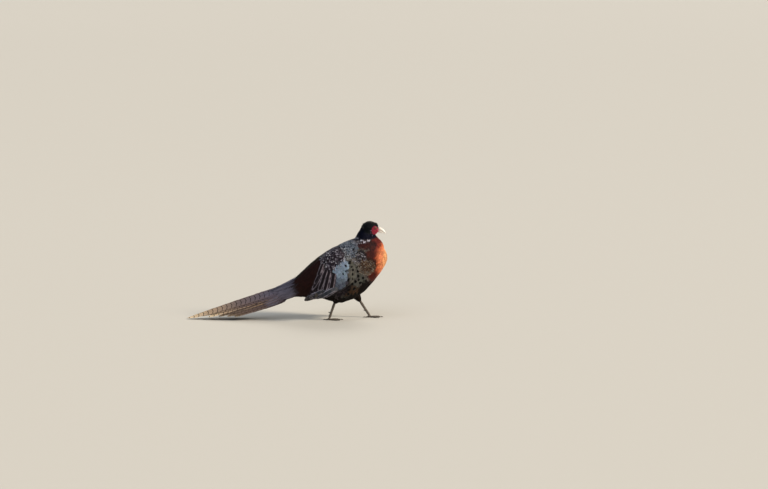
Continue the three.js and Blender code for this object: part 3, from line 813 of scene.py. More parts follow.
# The sides of the breast. Brown feathers below the shoulder, each with a bent pale bar inside a dark hem,
# make rows of chevrons.
coat(
    "chevron", "feathers_body", 15, (5.6, 19, 5.2), ("#82705f", "#66503f", "#948a80"),
    {
        "edge": (0.6, 0.08, 0.9), "shaft_tone": 1.0, "mark": (0.45, 0.08, 0.5, 0.7),
        "hem": (0.86, 0.06, 0.85), "lopsided": -0.25,
    },
    mark="#160d0a", camber=0.5, slope=0.12,
)
# The mantle. Silver-grey feathers with a dark heart and a dark hem cover the upper back. They overlap by half
# their length.
coat(
    "mantle", "feathers_body", 16, (6.0, 21, 5.4), ("#a2a7b1", "#79818d", "#59606d"),
    {
        "edge": (0.62, 0.1, 0.75), "shaft_tone": 1.1, "mark": (0.6, 0.16, 0.4, 0.9),
        "hem": (0.9, 0.06, 0.6), "lopsided": 0.3,
    },
    mark="#15151b", camber=0.5, slope=0.12,
)
# The scapulars. Long dark feathers with pale rings, rooted along the shoulder blade. They roof the place
# where the wing joins the back.
coat(
    "scapular", "feathers_wing", 17, (7.0, 29, 6.0), ("#aba7b0", "#85808c", "#565058", "#332b31"),
    {
        "edge": (0.58, 0.09, 0.95), "shaft_tone": 1.5, "mark": (0.3, 0.2, 0.2, 0.7),
        "hem": (0.86, 0.07, 0.9), "lopsided": 0.4,
    },
    mark="#1c1418", camber=0.6, slope=0.11,
)
# The wing coverts. Plain blue-grey feathers with a soft pale edge cover the forearm of the folded wing, over
# the roots of its quills.
coat(
    "covert", "feathers_wing", 18, (7.0, 26, 6.8), ("#8f9dab", "#74818f", "#5d6572"),
    {"edge": (0.8, 0.14, 0.35), "shaft_tone": 0.8},
    camber=0.4, slope=0.11,
)
# The rest of the wing. Broad dark feathers with a thin pale edge fill in under the quills, where only their
# tips show.
coat(
    "wing", "feathers_wing", 19, (10.0, 34, 8.0), ("#665c60", "#3a3236"),
    {"edge": (0.84, 0.05, 0.6), "shaft_tone": 0.8, "Roughness": 0.55},
)
# The rump. Long narrow maroon feathers hang like hair over the sides of the tail's root, with a green gloss
# along the middle of the back and a chestnut one at the sides, both painted into their colour as sheen. Their
# open barbs part into strands.
coat(
    "rump", "feathers_rump", 20, (5.8, 42, 4.2), ("#381a14", "#2a1712", "#33291b"),
    {"edge": (0.7, 0.25, 0.35), "Roughness": 0.55},
    paired=False, shape=LANCE, ragged=0.16, splits=0.2, slope=0.1, fringe=0.12, across=PLAIN,
)
# The neck. Short pointed feathers with a blue-black gloss lie close, like scales. The gloss comes from thin
# layers in the barbs, so it reads as slightly metallic.
coat(
    "neck", "feathers_head", 21, (2.8, 10.5, 2.3), ("#050a2c", "#04101e"),
    {"edge": (0.8, 0.14, 0.5), "Roughness": 0.4, "Metallic": 0.2},
    paired=False, slope=0.18, camber=0.3, shape=LANCE, across=PLAIN,
)
# The ring. White feathers with grey roots break through at the foot of the neck, in a ring that is open in
# front. They are softer than those above.
coat(
    "ring", "feathers_head", 24, (2.5, 11, 2.1), ("#c4c1cc", "#8d8a97", "#55546a"),
    {"edge": (0.86, 0.14, 0.5), "shaft_tone": 0.97, "Roughness": 0.55},
    paired=False, slope=0.14, camber=0.2, ragged=0.14, fringe=0.1, across=PLAIN, varied=0.14,
)
# The head. The smallest feathers, green-black with a bronze crown, lie flat back from the bill. They share
# the neck's gloss.
coat(
    "head", "feathers_head", 22, (1.8, 5.8, 1.4), ("#0a1a1a", "#0b1226"),
    {"edge": (0.7, 0.2, 0.5), "Roughness": 0.42, "Metallic": 0.2},
    paired=False, slope=0.2, uneven=0.25, curl=0.2, camber=0.2, thickness=0.12, shape=LANCE, across=PLAIN,
)

# The folded wing. Stiff flight feathers, pale at the edges, hang in a fan from the forearm and hand. The dark
# tertials lie over the grey secondaries, and those over the primaries, whose tips make the point of the wing.
QUILL = (
    [0, 0.04, 0.12, 0.25, 0.38, 0.5, 0.61, 0.71, 0.79, 0.86, 0.91, 0.95, 0.98, 1],
    [0, 0.3, 0.62, 0.86, 0.96, 1.0, 1.0, 0.97, 0.91, 0.8, 0.67, 0.5, 0.29, 0],
)
QUILL_SINK, QUILL_SUNK = 12, 0.42  # how deep the roots lie, mm, and the share of the feather that slopes
RIBBED = [-1, -0.8, -0.5, -0.2, -0.06, 0, 0.06, 0.2, 0.5, 0.8, 1]
LOOK_FROM, LEAST_OUT = 250, 20  # how far out the wing's side is looked at from, and where it ends inwards, mm
SHAFT_PROUD, EDGE_TUCK = 0.3, 0.03  # how far the edges lie under the shaft, in mm and by half width
STEEPEST = 0.5  # how far the vane tips over, by half width
CLEARED = 90  # the percentage of a fitted line's places that the vane is moved out to clear
QUILL_LOOK = {
    "thickness": 0.5,
    "ridge": 0.5,
    "uneven": 0,
    "ragged": 0.02,
    "splits": 0.04,
    "fringe": 0.02,
    "camber": 1.2,
}
TERTIALS = [
    ((186, 234), (165, 112), 11.5, 4),
    ((170, 240), (141, 117), 10.5, 3),
    ((159, 246), (120, 122), 10, 4),
    ((152, 250), (94, 128), 8.5, 5),
    ((146, 252), (104, 152), 8, 4),
    ((142, 254), (118, 186), 8, 3),
]
SECONDARIES = [
    ((160, 146), (72, 97), 8.5, 3),
    ((170, 150), (82, 97), 9, 3),
    ((180, 152), (94, 98), 9, 3),
    ((190, 153), (107, 99), 9.5, 3),
    ((199, 152), (121, 101), 9.5, 2),
    ((206, 150), (138, 105), 9.5, 2),
]
PRIMARIES = [
    ((138, 120), (60, 78), 7, 1),
    ((140, 126), (64, 84), 7.5, 2),
    ((143, 132), (68, 91), 8, 2),
]


def side_reach(x, z, side):
    hit = form_tree.ray_cast(Vector((x, LOOK_FROM * side, z)), Vector((0, -side, 0)))[0]
    return abs(hit.y) if hit and hit.y * side > LEAST_OUT else np.nan


def quill_lines(quills, side, stations):
    """Shaft, edges and outward direction of stiff feathers, each (root, tip, half width, bow) in mm."""
    along = np.array(stations, float)
    shaft, left, right, lean = np.zeros((4, len(quills), len(along), 3))
    for i, (root, tip, half, bow) in enumerate(quills):
        start, stop = np.array([root[0], 0, root[1]]), np.array([tip[0], 0, tip[1]])
        way = (stop - start) / np.linalg.norm(stop - start)
        across = np.array([-way[2] * side, 0, way[0] * side])
        bulge = np.outer(4 * along * (1 - along), across * side * bow)
        middle = start + np.outer(along, stop - start) + bulge
        depths = []
        for shift in (-half, 0, half):
            line = middle + across * shift
            found = np.array([side_reach(x, z, side) for x, _, z in line])
            seen = ~np.isnan(found)
            fitted = np.polyval(np.polyfit(along[seen], found[seen], min(2, seen.sum() - 1)), along)
            depths.append(fitted + max(0, np.percentile((found - fitted)[seen], CLEARED)))
        centre = np.maximum(depths[1], (depths[0] + depths[2]) / 2 + SHAFT_PROUD)
        tilt = np.clip((depths[2] - depths[0]) / 2, -STEEPEST * half, STEEPEST * half)
        parts = (left, -half, centre - tilt), (shaft, 0, centre), (right, half, centre + tilt)
        for line, shift, depth in parts:
            line[i] = middle + across * shift
            line[i, :, 1] = side * (depth - EDGE_TUCK * half * (shift != 0))
        face = np.cross(right[i] - left[i], np.gradient(shaft[i], axis=0))
        lean[i] = face / np.linalg.norm(face, axis=1)[:, None]
    return shaft, left, right, lean


def flight_feathers(name, quills, lift, step, colours, seed, material):
    """One piece a side of stiff feathers, each lying step mm over the one before it."""
    stations = np.array(QUILL[0])
    sunk = QUILL_SINK * (1 - smooth_step(0, QUILL_SUNK, stations))
    count = len(quills)
    columns = np.arange(count)
    places = np.stack([(columns + 0.5) / count, np.full(count, 0.5)], axis=1)
    lengths = np.array([math.dist(root, tip) for root, tip, _, _ in quills])
    for side, ending in SIDES:
        piece = vanes(
            f"{name}_{ending}", quill_lines(quills, side, stations), QUILL, RIBBED,
            lift + step * columns[:, None] - sunk, (places, 0.9 / count), seed + side,
            plain_colours(count, *colours), lengths, **QUILL_LOOK,
        )
        piece.data.materials.append(material)
        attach(piece, "root")
        if quills is PRIMARIES:
            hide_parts(f"primaries_{ending}")


flight_feathers(
    "primaries_vanes", PRIMARIES, 0.6, 0.6, ("#2e2c2e", "#8a838f", "#5e574f"), 31,
    vane_keratin("primary vane", 8, (0.78, 0.08, 0.85), 0.7, blunt=0.86, bars=(11, 0.35, 0.5, 0.8)),
)
flight_feathers(
    "secondaries", SECONDARIES, 1.0, 0.7, ("#33363c", "#a79faa", "#544f50"), 32,
    vane_keratin("secondary vane", 10, (0.7, 0.09, 0.9), 0.7, blunt=0.88, bars=(9, 0.35, 0.35, 0.7)),
)
flight_feathers(
    "tertials", TERTIALS, 2.4, 0.6, ("#1d161b", "#8f858e", "#33242a"), 33,
    vane_keratin(
        "tertial vane", 11, (0.54, 0.09, 0.9), 0.6, blunt=0.8, hem=(0.88, 0.05, 0.9), lopsided=-0.12
    ),
)

# The tail. Eighteen long stiff feathers, barred black, their mauve-brown edges loose and hair-like. They fold
# into a steep roof, with the longest pair at the ridge, and the tip rests on the floor.
TAIL_ROOT = (-4, 118)  # along and up, mm
TAIL_SLOPE = math.radians(17.45)
TAIL_SAG = 6.3e-5  # how far the tail sags under a straight line, by the square of the mm along
TAIL_LENGTHS = [425, 388, 342, 300, 266, 238, 212, 186, 160]  # from the middle pair outwards, mm
TAIL_HALF, TAIL_RIDGE, TAIL_PITCH = 17, 27, 1.55  # half width, ridge over the root, drop for each pair, mm
TAIL_NARROWER = 0.035  # how much narrower each pair is than the one over it
TAIL_SLIDE, TAIL_SLID = 5.2, 5  # each pair shows so many mm past the one over it, up to this pair
TAIL_ROOF, TAIL_ROOF_STEP = 38, 2.6  # the first pair's sideways slope, and what each next adds, degrees
TAIL_SPLAY, TAIL_SPLAY_PAIRS = 8, 4.2  # how far the outer pairs turn out, degrees, and how soon
TAIL_WIDEST = (1.18, 1.34)  # the two longest pairs' widths over the next one's
TAIL_CROSSED = 1.2  # how far the first two pairs reach over the ridge, mm
TAIL_APART, TAIL_DRAWN = 0.8, 0.65  # the other pairs' gap at the ridge, mm, and how far a taper draws them in
TAIL_LOWEST = 0.6  # mm over the floor
BARRED_PAIRS = 3  # how many pairs carry the full bars
TAIL_GROUND = ([0, 0.15, 0.5, 0.8, 1], ["#565261", "#5c5663", "#6e605e", "#b39a80", "#ebd3ae"])
TAIL_EDGE = ([0, 0.2, 0.7, 1], ["#4a4551", "#614f52", "#846754", "#c9ad89"])
PALE_EDGE = ([0, 0.2, 0.45, 1], ["#4a4551", "#7b5f4c", "#c7a27a", "#e2cfae"])
SIDE_GROUND = ([0, 0.3, 0.8, 1], ["#4b4752", "#51474a", "#6a5950", "#8f7a62"])


def tail_taper(t):
    """The half width t of the way along, as a share of the widest. It narrows after the first quarter."""
    point = math.sqrt(max(0.0025, 1 - max(0, (t - 0.25) / 0.75) ** 1.5))
    return point * min(1, 0.3 + 4.5 * t)


def tail_place(side, pair, t, across, lift):
    """A place on a tail feather, t of the way along, across mm from the bird's middle and lift mm up."""
    along = t * TAIL_LENGTHS[pair]
    pane = math.radians(TAIL_ROOF + TAIL_ROOF_STEP * pair)
    outward = across * math.cos(pane) + lift * math.sin(pane)
    upward = TAIL_RIDGE - TAIL_PITCH * pair - across * math.sin(pane) + lift * math.cos(pane)
    x = TAIL_ROOT[0] - along * math.cos(TAIL_SLOPE) - upward * math.sin(TAIL_SLOPE)
    z = TAIL_ROOT[1] - along * math.sin(TAIL_SLOPE) + upward * math.cos(TAIL_SLOPE) - TAIL_SAG * along**2
    return (x, side * outward, max(z, TAIL_LOWEST))


def tail_lines(side, pair, width, stations):
    """Shaft, edges and outward direction of one tail feather."""
    out = min(pair, TAIL_SLID)
    turn = math.radians(TAIL_SPLAY * (1 - math.exp(-((out / TAIL_SPLAY_PAIRS) ** 2))))
    lines = np.zeros((4, 1, len(stations), 3))
    for k, t in enumerate(stations):
        taper = tail_taper(t)
        middle = TAIL_APART + TAIL_SLIDE * out + TAIL_HALF * (1 - TAIL_DRAWN + TAIL_DRAWN * taper)
        if pair < len(TAIL_WIDEST):
            middle = width * taper - TAIL_CROSSED
        middle += t * TAIL_LENGTHS[pair] * math.tan(turn)
        for line, shift in enumerate((0, side * width, -side * width)):
            lines[line, 0, k] = tail_place(side, pair, t, middle + shift, 0)
        above = np.array(tail_place(side, pair, t, middle, 5)) - tail_place(side, pair, t, middle, 0)
        lines[3, 0, k] = above / max(np.linalg.norm(above), 1e-6)
    return lines


def shaded_along(stations, places, colours):
    """Colours at the stations, blended between hex colours at the given places along."""
    table = np.array([linear(colour) for colour in colours])
    return np.stack([np.interp(stations, places, table[:, band]) for band in range(4)], axis=1)


tail_stations = [0] + [0.012 + 0.976 * (1 - (1 - i / 45) ** 1.25) for i in range(46)] + [1]
tail_profile = [0] + [tail_taper(t) for t in tail_stations[1:-1]] + [0]
tail_vane = vane_keratin(
    "tail vane", 18, (0.74, 0.2, 0.7), 0.72, blunt=0.97, bars=(10, 0.15, 0.85, 0.74), Roughness=0.55
)
side_vane = vane_keratin(
    "side tail vane", 15, (0.66, 0.24, 0.7), 0.72, blunt=0.97, bars=(8, 0.2, 0.35, 0.7), Roughness=0.55
)
for side, ending in SIDES:
    for pair in range(9):
        width = TAIL_HALF * (TAIL_WIDEST[pair] if pair < len(TAIL_WIDEST) else 1 - TAIL_NARROWER * pair)
        barred = pair < BARRED_PAIRS
        piece = vanes(
            f"tail_{pair + 1}_{ending}", tail_lines(side, pair, width, tail_stations),
            (tail_stations, tail_profile), RIBBED, [0.0], (np.array([[0.5, 0.5]]), 0.96),
            40 + pair * 2 + (side > 0),
            {
                "Ground": shaded_along(tail_stations, *(TAIL_GROUND if barred else SIDE_GROUND))[None],
                "Rim": shaded_along(tail_stations, *(PALE_EDGE if pair in (2, 3) else TAIL_EDGE))[None],
                "Mark": [linear("#0f0b0c")],
            },
            TAIL_LENGTHS[pair], thickness=0.6, ridge=0.6, uneven=0, ragged=0.035, splits=0.05 if pair else 0,
            fringe=0.01, camber=0, curl=0,
        )
        piece.data.materials.append(tail_vane if barred else side_vane)
        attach(piece, "root")
        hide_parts(f"tail_feather_{pair + 1}_{ending}")

# The tail coverts. Long mauve-grey feathers, rooted on the rump, hide the tail's root above and at the sides,
# and loose dark ones below it, so that the body runs into the tail with no step.
COVER_FROM, COVER_TO = -34, 28  # where the draped ones are rooted, mm
COVER_LEAST_UP, COVER_MOST_ALONG = -0.45, 0.6  # how far down and along the tail their ground may face
COVER_SPACING, COVER_LENGTHS, COVER_HALVES = 5.2, (56, 88), (4.4, 5.8)  # mm
COVER_STRAY = 0.05
COVER_BENT, COVER_FALL = 0.75, -0.6  # past these a draped one turns or drops too sharply and is left out
COVER_ROWS = range(4, 44, 5)  # where the straight ones are rooted on the rump, mm
COVER_REACHES = np.linspace(0.03, 1, 11)  # and where over the tail, from its middle to its side
STRAIGHT_HALVES, RUMP_SEEN_FROM = (4.6, 5.8), 200  # their half widths, and where the rump is seen from, mm
COVER_SHADES = [0, 0.16, 0.42, 1]  # where along a covert its shades lie
COVER_SLOPE = 0.05  # how much lower a covert's root lies than its tip, by its length
RUMP_AXIS, TAIL_COVERED, VENT_DOME = 120, 54, 4  # the rump's middle, the tail's breadth, its hollow, mm
TAIL_WAY = np.array([-0.95, 0, -0.3])
cover_tree, cover_leans = draping_form(cover_form)
cover_corners = [list(face.vertices) for face in cover_form.data.polygons]
cover_middles = mesh_points(cover_form)[np.array(cover_corners)].mean(1)
bpy.data.objects.remove(cover_form)
facing = np.array([lean.dot(Vector(TAIL_WAY).normalized()) for lean in cover_leans])
upward = np.array([lean.z for lean in cover_leans])
near_root = (cover_middles[:, 0] > COVER_FROM) & (cover_middles[:, 0] < COVER_TO) & (upward > COVER_LEAST_UP)
cover_faces = np.flatnonzero(near_root & (np.abs(facing) < COVER_MOST_ALONG))
cover_faces = np.random.default_rng(80).permutation(cover_faces)
cover_faces = cover_faces[far_apart(cover_middles[cover_faces], COVER_SPACING)]


def rump_place(x, tip, along):
    """The place on the rump that lies the same way round as a place on the tail, and that way."""
    ridge = tail_place(1, 0, along / TAIL_LENGTHS[0], 0, 0)[2]
    around = Vector((0, tip.y, tip.z - ridge + TAIL_RIDGE)).normalized()
    start = Vector((x, 0, RUMP_AXIS)) + around * RUMP_SEEN_FROM
    return form_tree.ray_cast(start, -around)[0], around


def straight_lines(tips, stations, seed):
    """Straight feathers from the rump to the tail. tips gives the tip for a side, a reach over the tail from
    0 to 1 and a distance along it in mm."""
    rng = np.random.default_rng(seed)
    made = []
    for x in COVER_ROWS:
        for reach in COVER_REACHES:
            for side in (-1, 1):
                start, length = x + rng.uniform(-3, 3), rng.uniform(*COVER_LENGTHS)
                along = length - start + TAIL_ROOT[0]
                tip = tips(side, reach + rng.uniform(-0.03, 0.03), along) + Vector(rng.uniform(-0.8, 0.8, 3))
                root, around = rump_place(start, tip, along)
                aside = Vector((0, -around.z, around.y)) * rng.uniform(*STRAIGHT_HALVES)
                lean = aside.cross(root - tip).normalized()
                lean = lean if lean.dot(around) > 0 else -lean
                aside = aside if aside.cross(tip - root).dot(around) < 0 else -aside
                places = [root.lerp(tip, share) for share in stations]
                made.append([(place, place - aside, place + aside, lean) for place in places])
    return [np.array([[station[part] for station in row] for row in made], float) for part in range(4)]


def over_the_tail(side, reach, along):
    across = max(0, reach) * TAIL_COVERED
    pair = min(TAIL_SLID, int(across / 10))
    return Vector(tail_place(side, pair, along / TAIL_LENGTHS[pair], across, 2))


def under_the_tail(side, reach, along):
    edge = Vector(tail_place(side, TAIL_SLID, along / TAIL_LENGTHS[TAIL_SLID], TAIL_COVERED, -2))
    return Vector((edge.x, edge.y * reach, edge.z + VENT_DOME * (1 - reach**2)))


def tiled_places(count):
    """A place for each of a piece's feathers in a square of equal tiles, and a patch that fits one."""
    side = int(math.ceil(math.sqrt(count)))
    numbers = np.arange(count)
    return np.stack([(numbers % side + 0.5) / side, (numbers // side + 0.5) / side], axis=1), 0.8 / side


rng = np.random.default_rng(81)
lengths = rng.uniform(*COVER_LENGTHS, len(cover_faces))
draped = drape(
    (cover_tree, cover_leans),
    cover_middles[cover_faces],
    [cover_leans[face] for face in cover_faces],
    TAIL_WAY + COVER_STRAY * rng.standard_normal((len(cover_faces), 3)),
    lengths,
    rng.uniform(*COVER_HALVES, len(cover_faces)),
    LANCE[0],
)
turns = (draped[3][:, 1:] * draped[3][:, :-1]).sum(2).min(1)
falls = (draped[0][:, -1, 2] - draped[0][:, 0, 2]) / lengths
steady = (turns > COVER_BENT) & (falls > COVER_FALL)
from_rump = straight_lines(over_the_tail, LANCE[0], 83)
over_tail = [np.concatenate([line[steady], more]) for line, more in zip(draped, from_rump)]
under_tail = straight_lines(under_the_tail, LANCE[0], 84)
covert_keratin = vane_keratin("tail covert vane", 6, (0.7, 0.2, 0.6), 0.75, Roughness=0.55)
vent_keratin = vane_keratin("vent vane", 6, (0.7, 0.2, 0.5), Roughness=0.8)
for name, lines, keratin, shades, rim in (
    ("tail_covert_coat", over_tail, covert_keratin, ["#220e0c", "#3a2e33", "#6a6674", "#6a6674"], "#575260"),
    ("vent_coat", under_tail, vent_keratin, ["#1b1210"] * 4, "#2a1d18"),
):
    lengths = np.linalg.norm(lines[0][:, -1] - lines[0][:, 0], axis=1)
    count = len(lengths)
    colours = {
        "Ground": np.tile(shaded_along(LANCE[0], COVER_SHADES, shades), (count, 1, 1)),
        "Rim": np.tile(linear(rim), (count, 1)),
        "Mark": np.tile(linear(rim), (count, 1)),
    }
    piece = vanes(
        name, lines, LANCE, FINE, 0.6 - COVER_SLOPE * lengths[:, None] * (1 - np.array(LANCE[0])),
        tiled_places(count), 82, colours, lengths, ragged=0.14, splits=0.15, fringe=0.08,
    )
    piece.data.materials.append(keratin)
    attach(piece, "root")

# The face. Bare crimson skin, set close with soft papillae about a millimetre across, spreads from the bill
# to the ear round the eye. It swells with blood, and small black feathers stand in it and line the lores.
FACE_LEVEL, FACE_FLAT = 16.3, 0.48  # how far out its plane lies, mm, and what is left of bulges past it
PAPILLAE_APART, PAPILLA_RADIUS, PAPILLA_HEIGHT = 1.25, 0.72, 0.34  # mm
EYE_PLACE, EYE_RADIUS, EYE_CLEAR = (351, 13.6, 376), 6.2, 7.6  # the last keeps the feathers off it, mm
LORES = ((354, 381), (364, 371))  # a dark line of feathers from over the eye to the bill, as (along, up)
LORES_HALF = 1.5  # half that line's breadth, mm
SPECKS_APART, LORES_APART = 2.8, 0.8  # from feather to feather on the face and in the line, mm
SPECK_LENGTHS, SPECK_HALVES = (1.8, 2.6), (0.28, 0.42)  # mm
SPECK_WAY, SPECK_STRAY = [-0.75, 0, -0.65], 0.3

# Wattle skin: soft and a little moist and mottled every 4 mm. Its colour is painted: deep red shade between
# the papillae and a rosy highlight on them.
wattle_skin, tree, shader = surface("wattle skin", Roughness=0.42, IOR=1.4, Specular_IOR_Level=0.4)
bump_height = add(tree, "Attribute", attribute_name="Papilla").outputs["Fac"]
where = add(tree, "TexCoord").outputs["Object"]
mottle = add(tree, "TexNoise", {"Vector": where, "Scale": 260.0, "Detail": 3.0})
# Painted light: the papillae's tops are rosy as a painted highlight, the hollows between them deep red as
# painted shade.
papilla_light_and_shade = add(tree, "ValToRGB", [bump_height])
papilla_light_and_shade.color_ramp.elements[0].color = linear("#6a1022")
papilla_light_and_shade.color_ramp.elements[1].color = linear("#c23350")
mottled = add(tree, "MapRange", [mottle, 0.35, 0.65, 0.7, 1.15])
shaded_wattle = add(tree, "HueSaturation", {"Color": papilla_light_and_shade, "Value": mottled})
tree.links.new(shaded_wattle.outputs["Color"], shader.inputs["Base Color"])
speck_vane = vane_keratin("speck vane", 0.4, (0.7, 0.2, 0.5))


def strip_places(order, patch):
    """A place for each of a piece's feathers in one row of the map, and the patch size."""
    return order[:, None] / len(order) * [0.9, 0] + [0.03, 0.5], patch


for side, ending in SIDES:
    face = merged_copy(f"face_{ending}", [f"wattle_{ending}"], voxel=0.45, rounds=6)
    points, normals = mesh_points(face), mesh_normals(face)
    rng = np.random.default_rng(50 + side)
    order = rng.permutation(len(points))
    centres = points[order][far_apart(points[order], PAPILLAE_APART)]
    gaps = np.sqrt(((points[:, None] - centres[None]) ** 2).sum(2)).min(1)
    raised = np.clip(1 - (gaps / PAPILLA_RADIUS) ** 2, 0, 1)
    out = points[:, 1] * side
    points[:, 1] = side * np.where(out > FACE_LEVEL, FACE_LEVEL + FACE_FLAT * (out - FACE_LEVEL), out)
    set_points(face, points + normals * (PAPILLA_HEIGHT * raised)[:, None])
    height = face.data.attributes.new("Papilla", "FLOAT", "POINT")
    height.data.foreach_set("value", raised)
    face.data.materials.append(wattle_skin)
    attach(face, "root")
    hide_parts(f"wattle_{ending}")

    points, normals = mesh_points(face), mesh_normals(face)
    outer = np.flatnonzero(normals[:, 1] * side > 0.75)
    beside_eye = np.hypot(points[outer, 0] - EYE_PLACE[0], points[outer, 2] - EYE_PLACE[2])
    outer = rng.permutation(outer[beside_eye > EYE_CLEAR])
    seen = points[outer][:, [0, 2]]
    start, stop = np.array(LORES)
    share = np.clip((seen - start) @ (stop - start) / ((stop - start) ** 2).sum(), 0, 1)
    off_line = np.linalg.norm(seen - start - share[:, None] * (stop - start), axis=1)
    strewn = outer[far_apart(points[outer], SPECKS_APART)]
    lined = outer[off_line < LORES_HALF]
    rooted = np.concatenate([strewn, lined[far_apart(points[lined], LORES_APART)]])
    count = len(rooted)
    lines = drape(
        draping_form(face),
        points[rooted],
        [Vector(normals[i]) for i in rooted],
        np.array(SPECK_WAY) + SPECK_STRAY * rng.standard_normal((count, 3)),
        rng.uniform(*SPECK_LENGTHS, count),
        rng.uniform(*SPECK_HALVES, count),
        LANCE[0],
    )
    specks = vanes(
        f"face_specks_{ending}", lines, LANCE, PLAIN, 0.1 + 0.3 * np.array(LANCE[0]),
        strip_places(rng.permutation(count), 0.02), 54 + side,
        plain_colours(count, "#12070b", "#1f0d13", "#12070b"), 2.2,
        thickness=0.12, camber=0.05, curl=0, uneven=0.1,
    )
    specks.data.materials.append(speck_vane)
    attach(specks, "root")

# The eyes. A wet clear cornea bulges over a dark amber iris and a round black pupil, and two folds of bare
# lid close on it. Fine fibres streak the iris, and the lids' skin has painted shade in its folds, 1.4 mm
# apart.
CORNEA_FROM, CORNEA_RISE = 0.75, 0.4  # where the cornea starts, as a share of the radius, and its bulge, mm
IRIS_RINGS = ((0.745, "#5a2f12"), (0.8, "#a8601f"), (0.848, "#7d4315"))
LIDS = ((4.3, 4.75, 0.6), (3.6, 5.7, 0.85))  # each fold's place along the gaze, radius and thickness, mm
LID_OPENING = 0.9  # how high the lids stand open, as a share of the width
eyeball, tree, shader = surface("wet cornea", Roughness=0.08, IOR=1.376, Coat_Weight=1.0, Coat_Roughness=0.03)
uv = add(tree, "UVMap", uv_map="UVMap")
split = add(tree, "SeparateXYZ", [uv])
rings = add(tree, "ValToRGB", [split.outputs["Y"]])
rings.color_ramp.elements[0].position = 0.72
rings.color_ramp.elements[0].color = linear("#1a1210")
rings.color_ramp.elements[1].position = 0.865
rings.color_ramp.elements[1].color = linear("#020202")
for position, colour in IRIS_RINGS:
    rings.color_ramp.elements.new(position).color = linear(colour)
fibres = add(tree, "TexNoise", {"Vector": uv, "Scale": 60.0, "Detail": 2.0})
fibre_tone = add(tree, "MapRange", {"Value": fibres, "To Min": 0.7, "To Max": 1.3})
iris = add(tree, "HueSaturation", {"Color": rings, "Value": fibre_tone})
tree.links.new(iris.outputs["Color"], shader.inputs["Base Color"])
lid_skin, tree, shader = surface("lid skin", Roughness=0.5, IOR=1.4)
where = add(tree, "TexCoord").outputs["Object"]
folds = add(tree, "TexNoise", {"Vector": where, "Scale": 700.0, "Detail": 2.0})
# Painted shade: the lid skin is darker where the fold noise dips, the same noise that lowers its relief.
lid_fold_shade = add(tree, "ValToRGB", [folds])
lid_fold_shade.color_ramp.elements[0].color = linear("#350c13")
lid_fold_shade.color_ramp.elements[1].color = linear("#8a2a3a")
lid_bump = add(tree, "Bump", {"Height": folds, "Distance": 0.0004})
tree.links.new(lid_fold_shade.outputs["Color"], shader.inputs["Base Color"])
tree.links.new(lid_bump.outputs["Normal"], shader.inputs["Normal"])
for side, ending in SIDES:
    gaze = Vector((0.26, 0.96 * side, 0.08)).normalized()
    centre = Vector(metres((EYE_PLACE[0], EYE_PLACE[1] * side, EYE_PLACE[2])))
    turned = gaze.to_track_quat("Z", "Y").to_euler()
    bpy.ops.object.select_all(action="DESELECT")
    bpy.ops.mesh.primitive_uv_sphere_add(
        segments=48, ring_count=32, radius=EYE_RADIUS * MM, location=centre, rotation=turned
    )
    eye = bpy.context.object
    eye.name = f"eyeball_{ending}"
    for vertex in eye.data.vertices:
        past = max(0, vertex.co.z / (EYE_RADIUS * MM) - CORNEA_FROM)
        vertex.co.z += CORNEA_RISE * MM * past / (1 - CORNEA_FROM)
    bpy.ops.object.transform_apply(location=True, rotation=True, scale=True)
    bpy.ops.object.shade_smooth()
    eye.data.materials.append(eyeball)
    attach(eye, "root")
    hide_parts(f"eye_{ending}")
    for number, (lift, wide, thick) in enumerate(LIDS):
        bpy.ops.object.select_all(action="DESELECT")
        bpy.ops.mesh.primitive_torus_add(
            location=centre + gaze * lift * MM,
            rotation=turned,
            major_segments=56,
            minor_segments=12,
            major_radius=wide * MM,
            minor_radius=thick * MM,
        )
        lid = bpy.context.object
        lid.name = f"lid_{number + 1}_{ending}"
        for vertex in lid.data.vertices:
            around = math.atan2(vertex.co.y, vertex.co.x)
            vertex.co *= 1 + 0.02 * math.sin(9 * around + number) + 0.015 * math.sin(23 * around)
            vertex.co.y *= LID_OPENING
        bpy.ops.object.transform_apply(location=True, rotation=True, scale=True)
        bpy.ops.object.shade_smooth()
        lid.data.materials.append(lid_skin)
        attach(lid, "root")

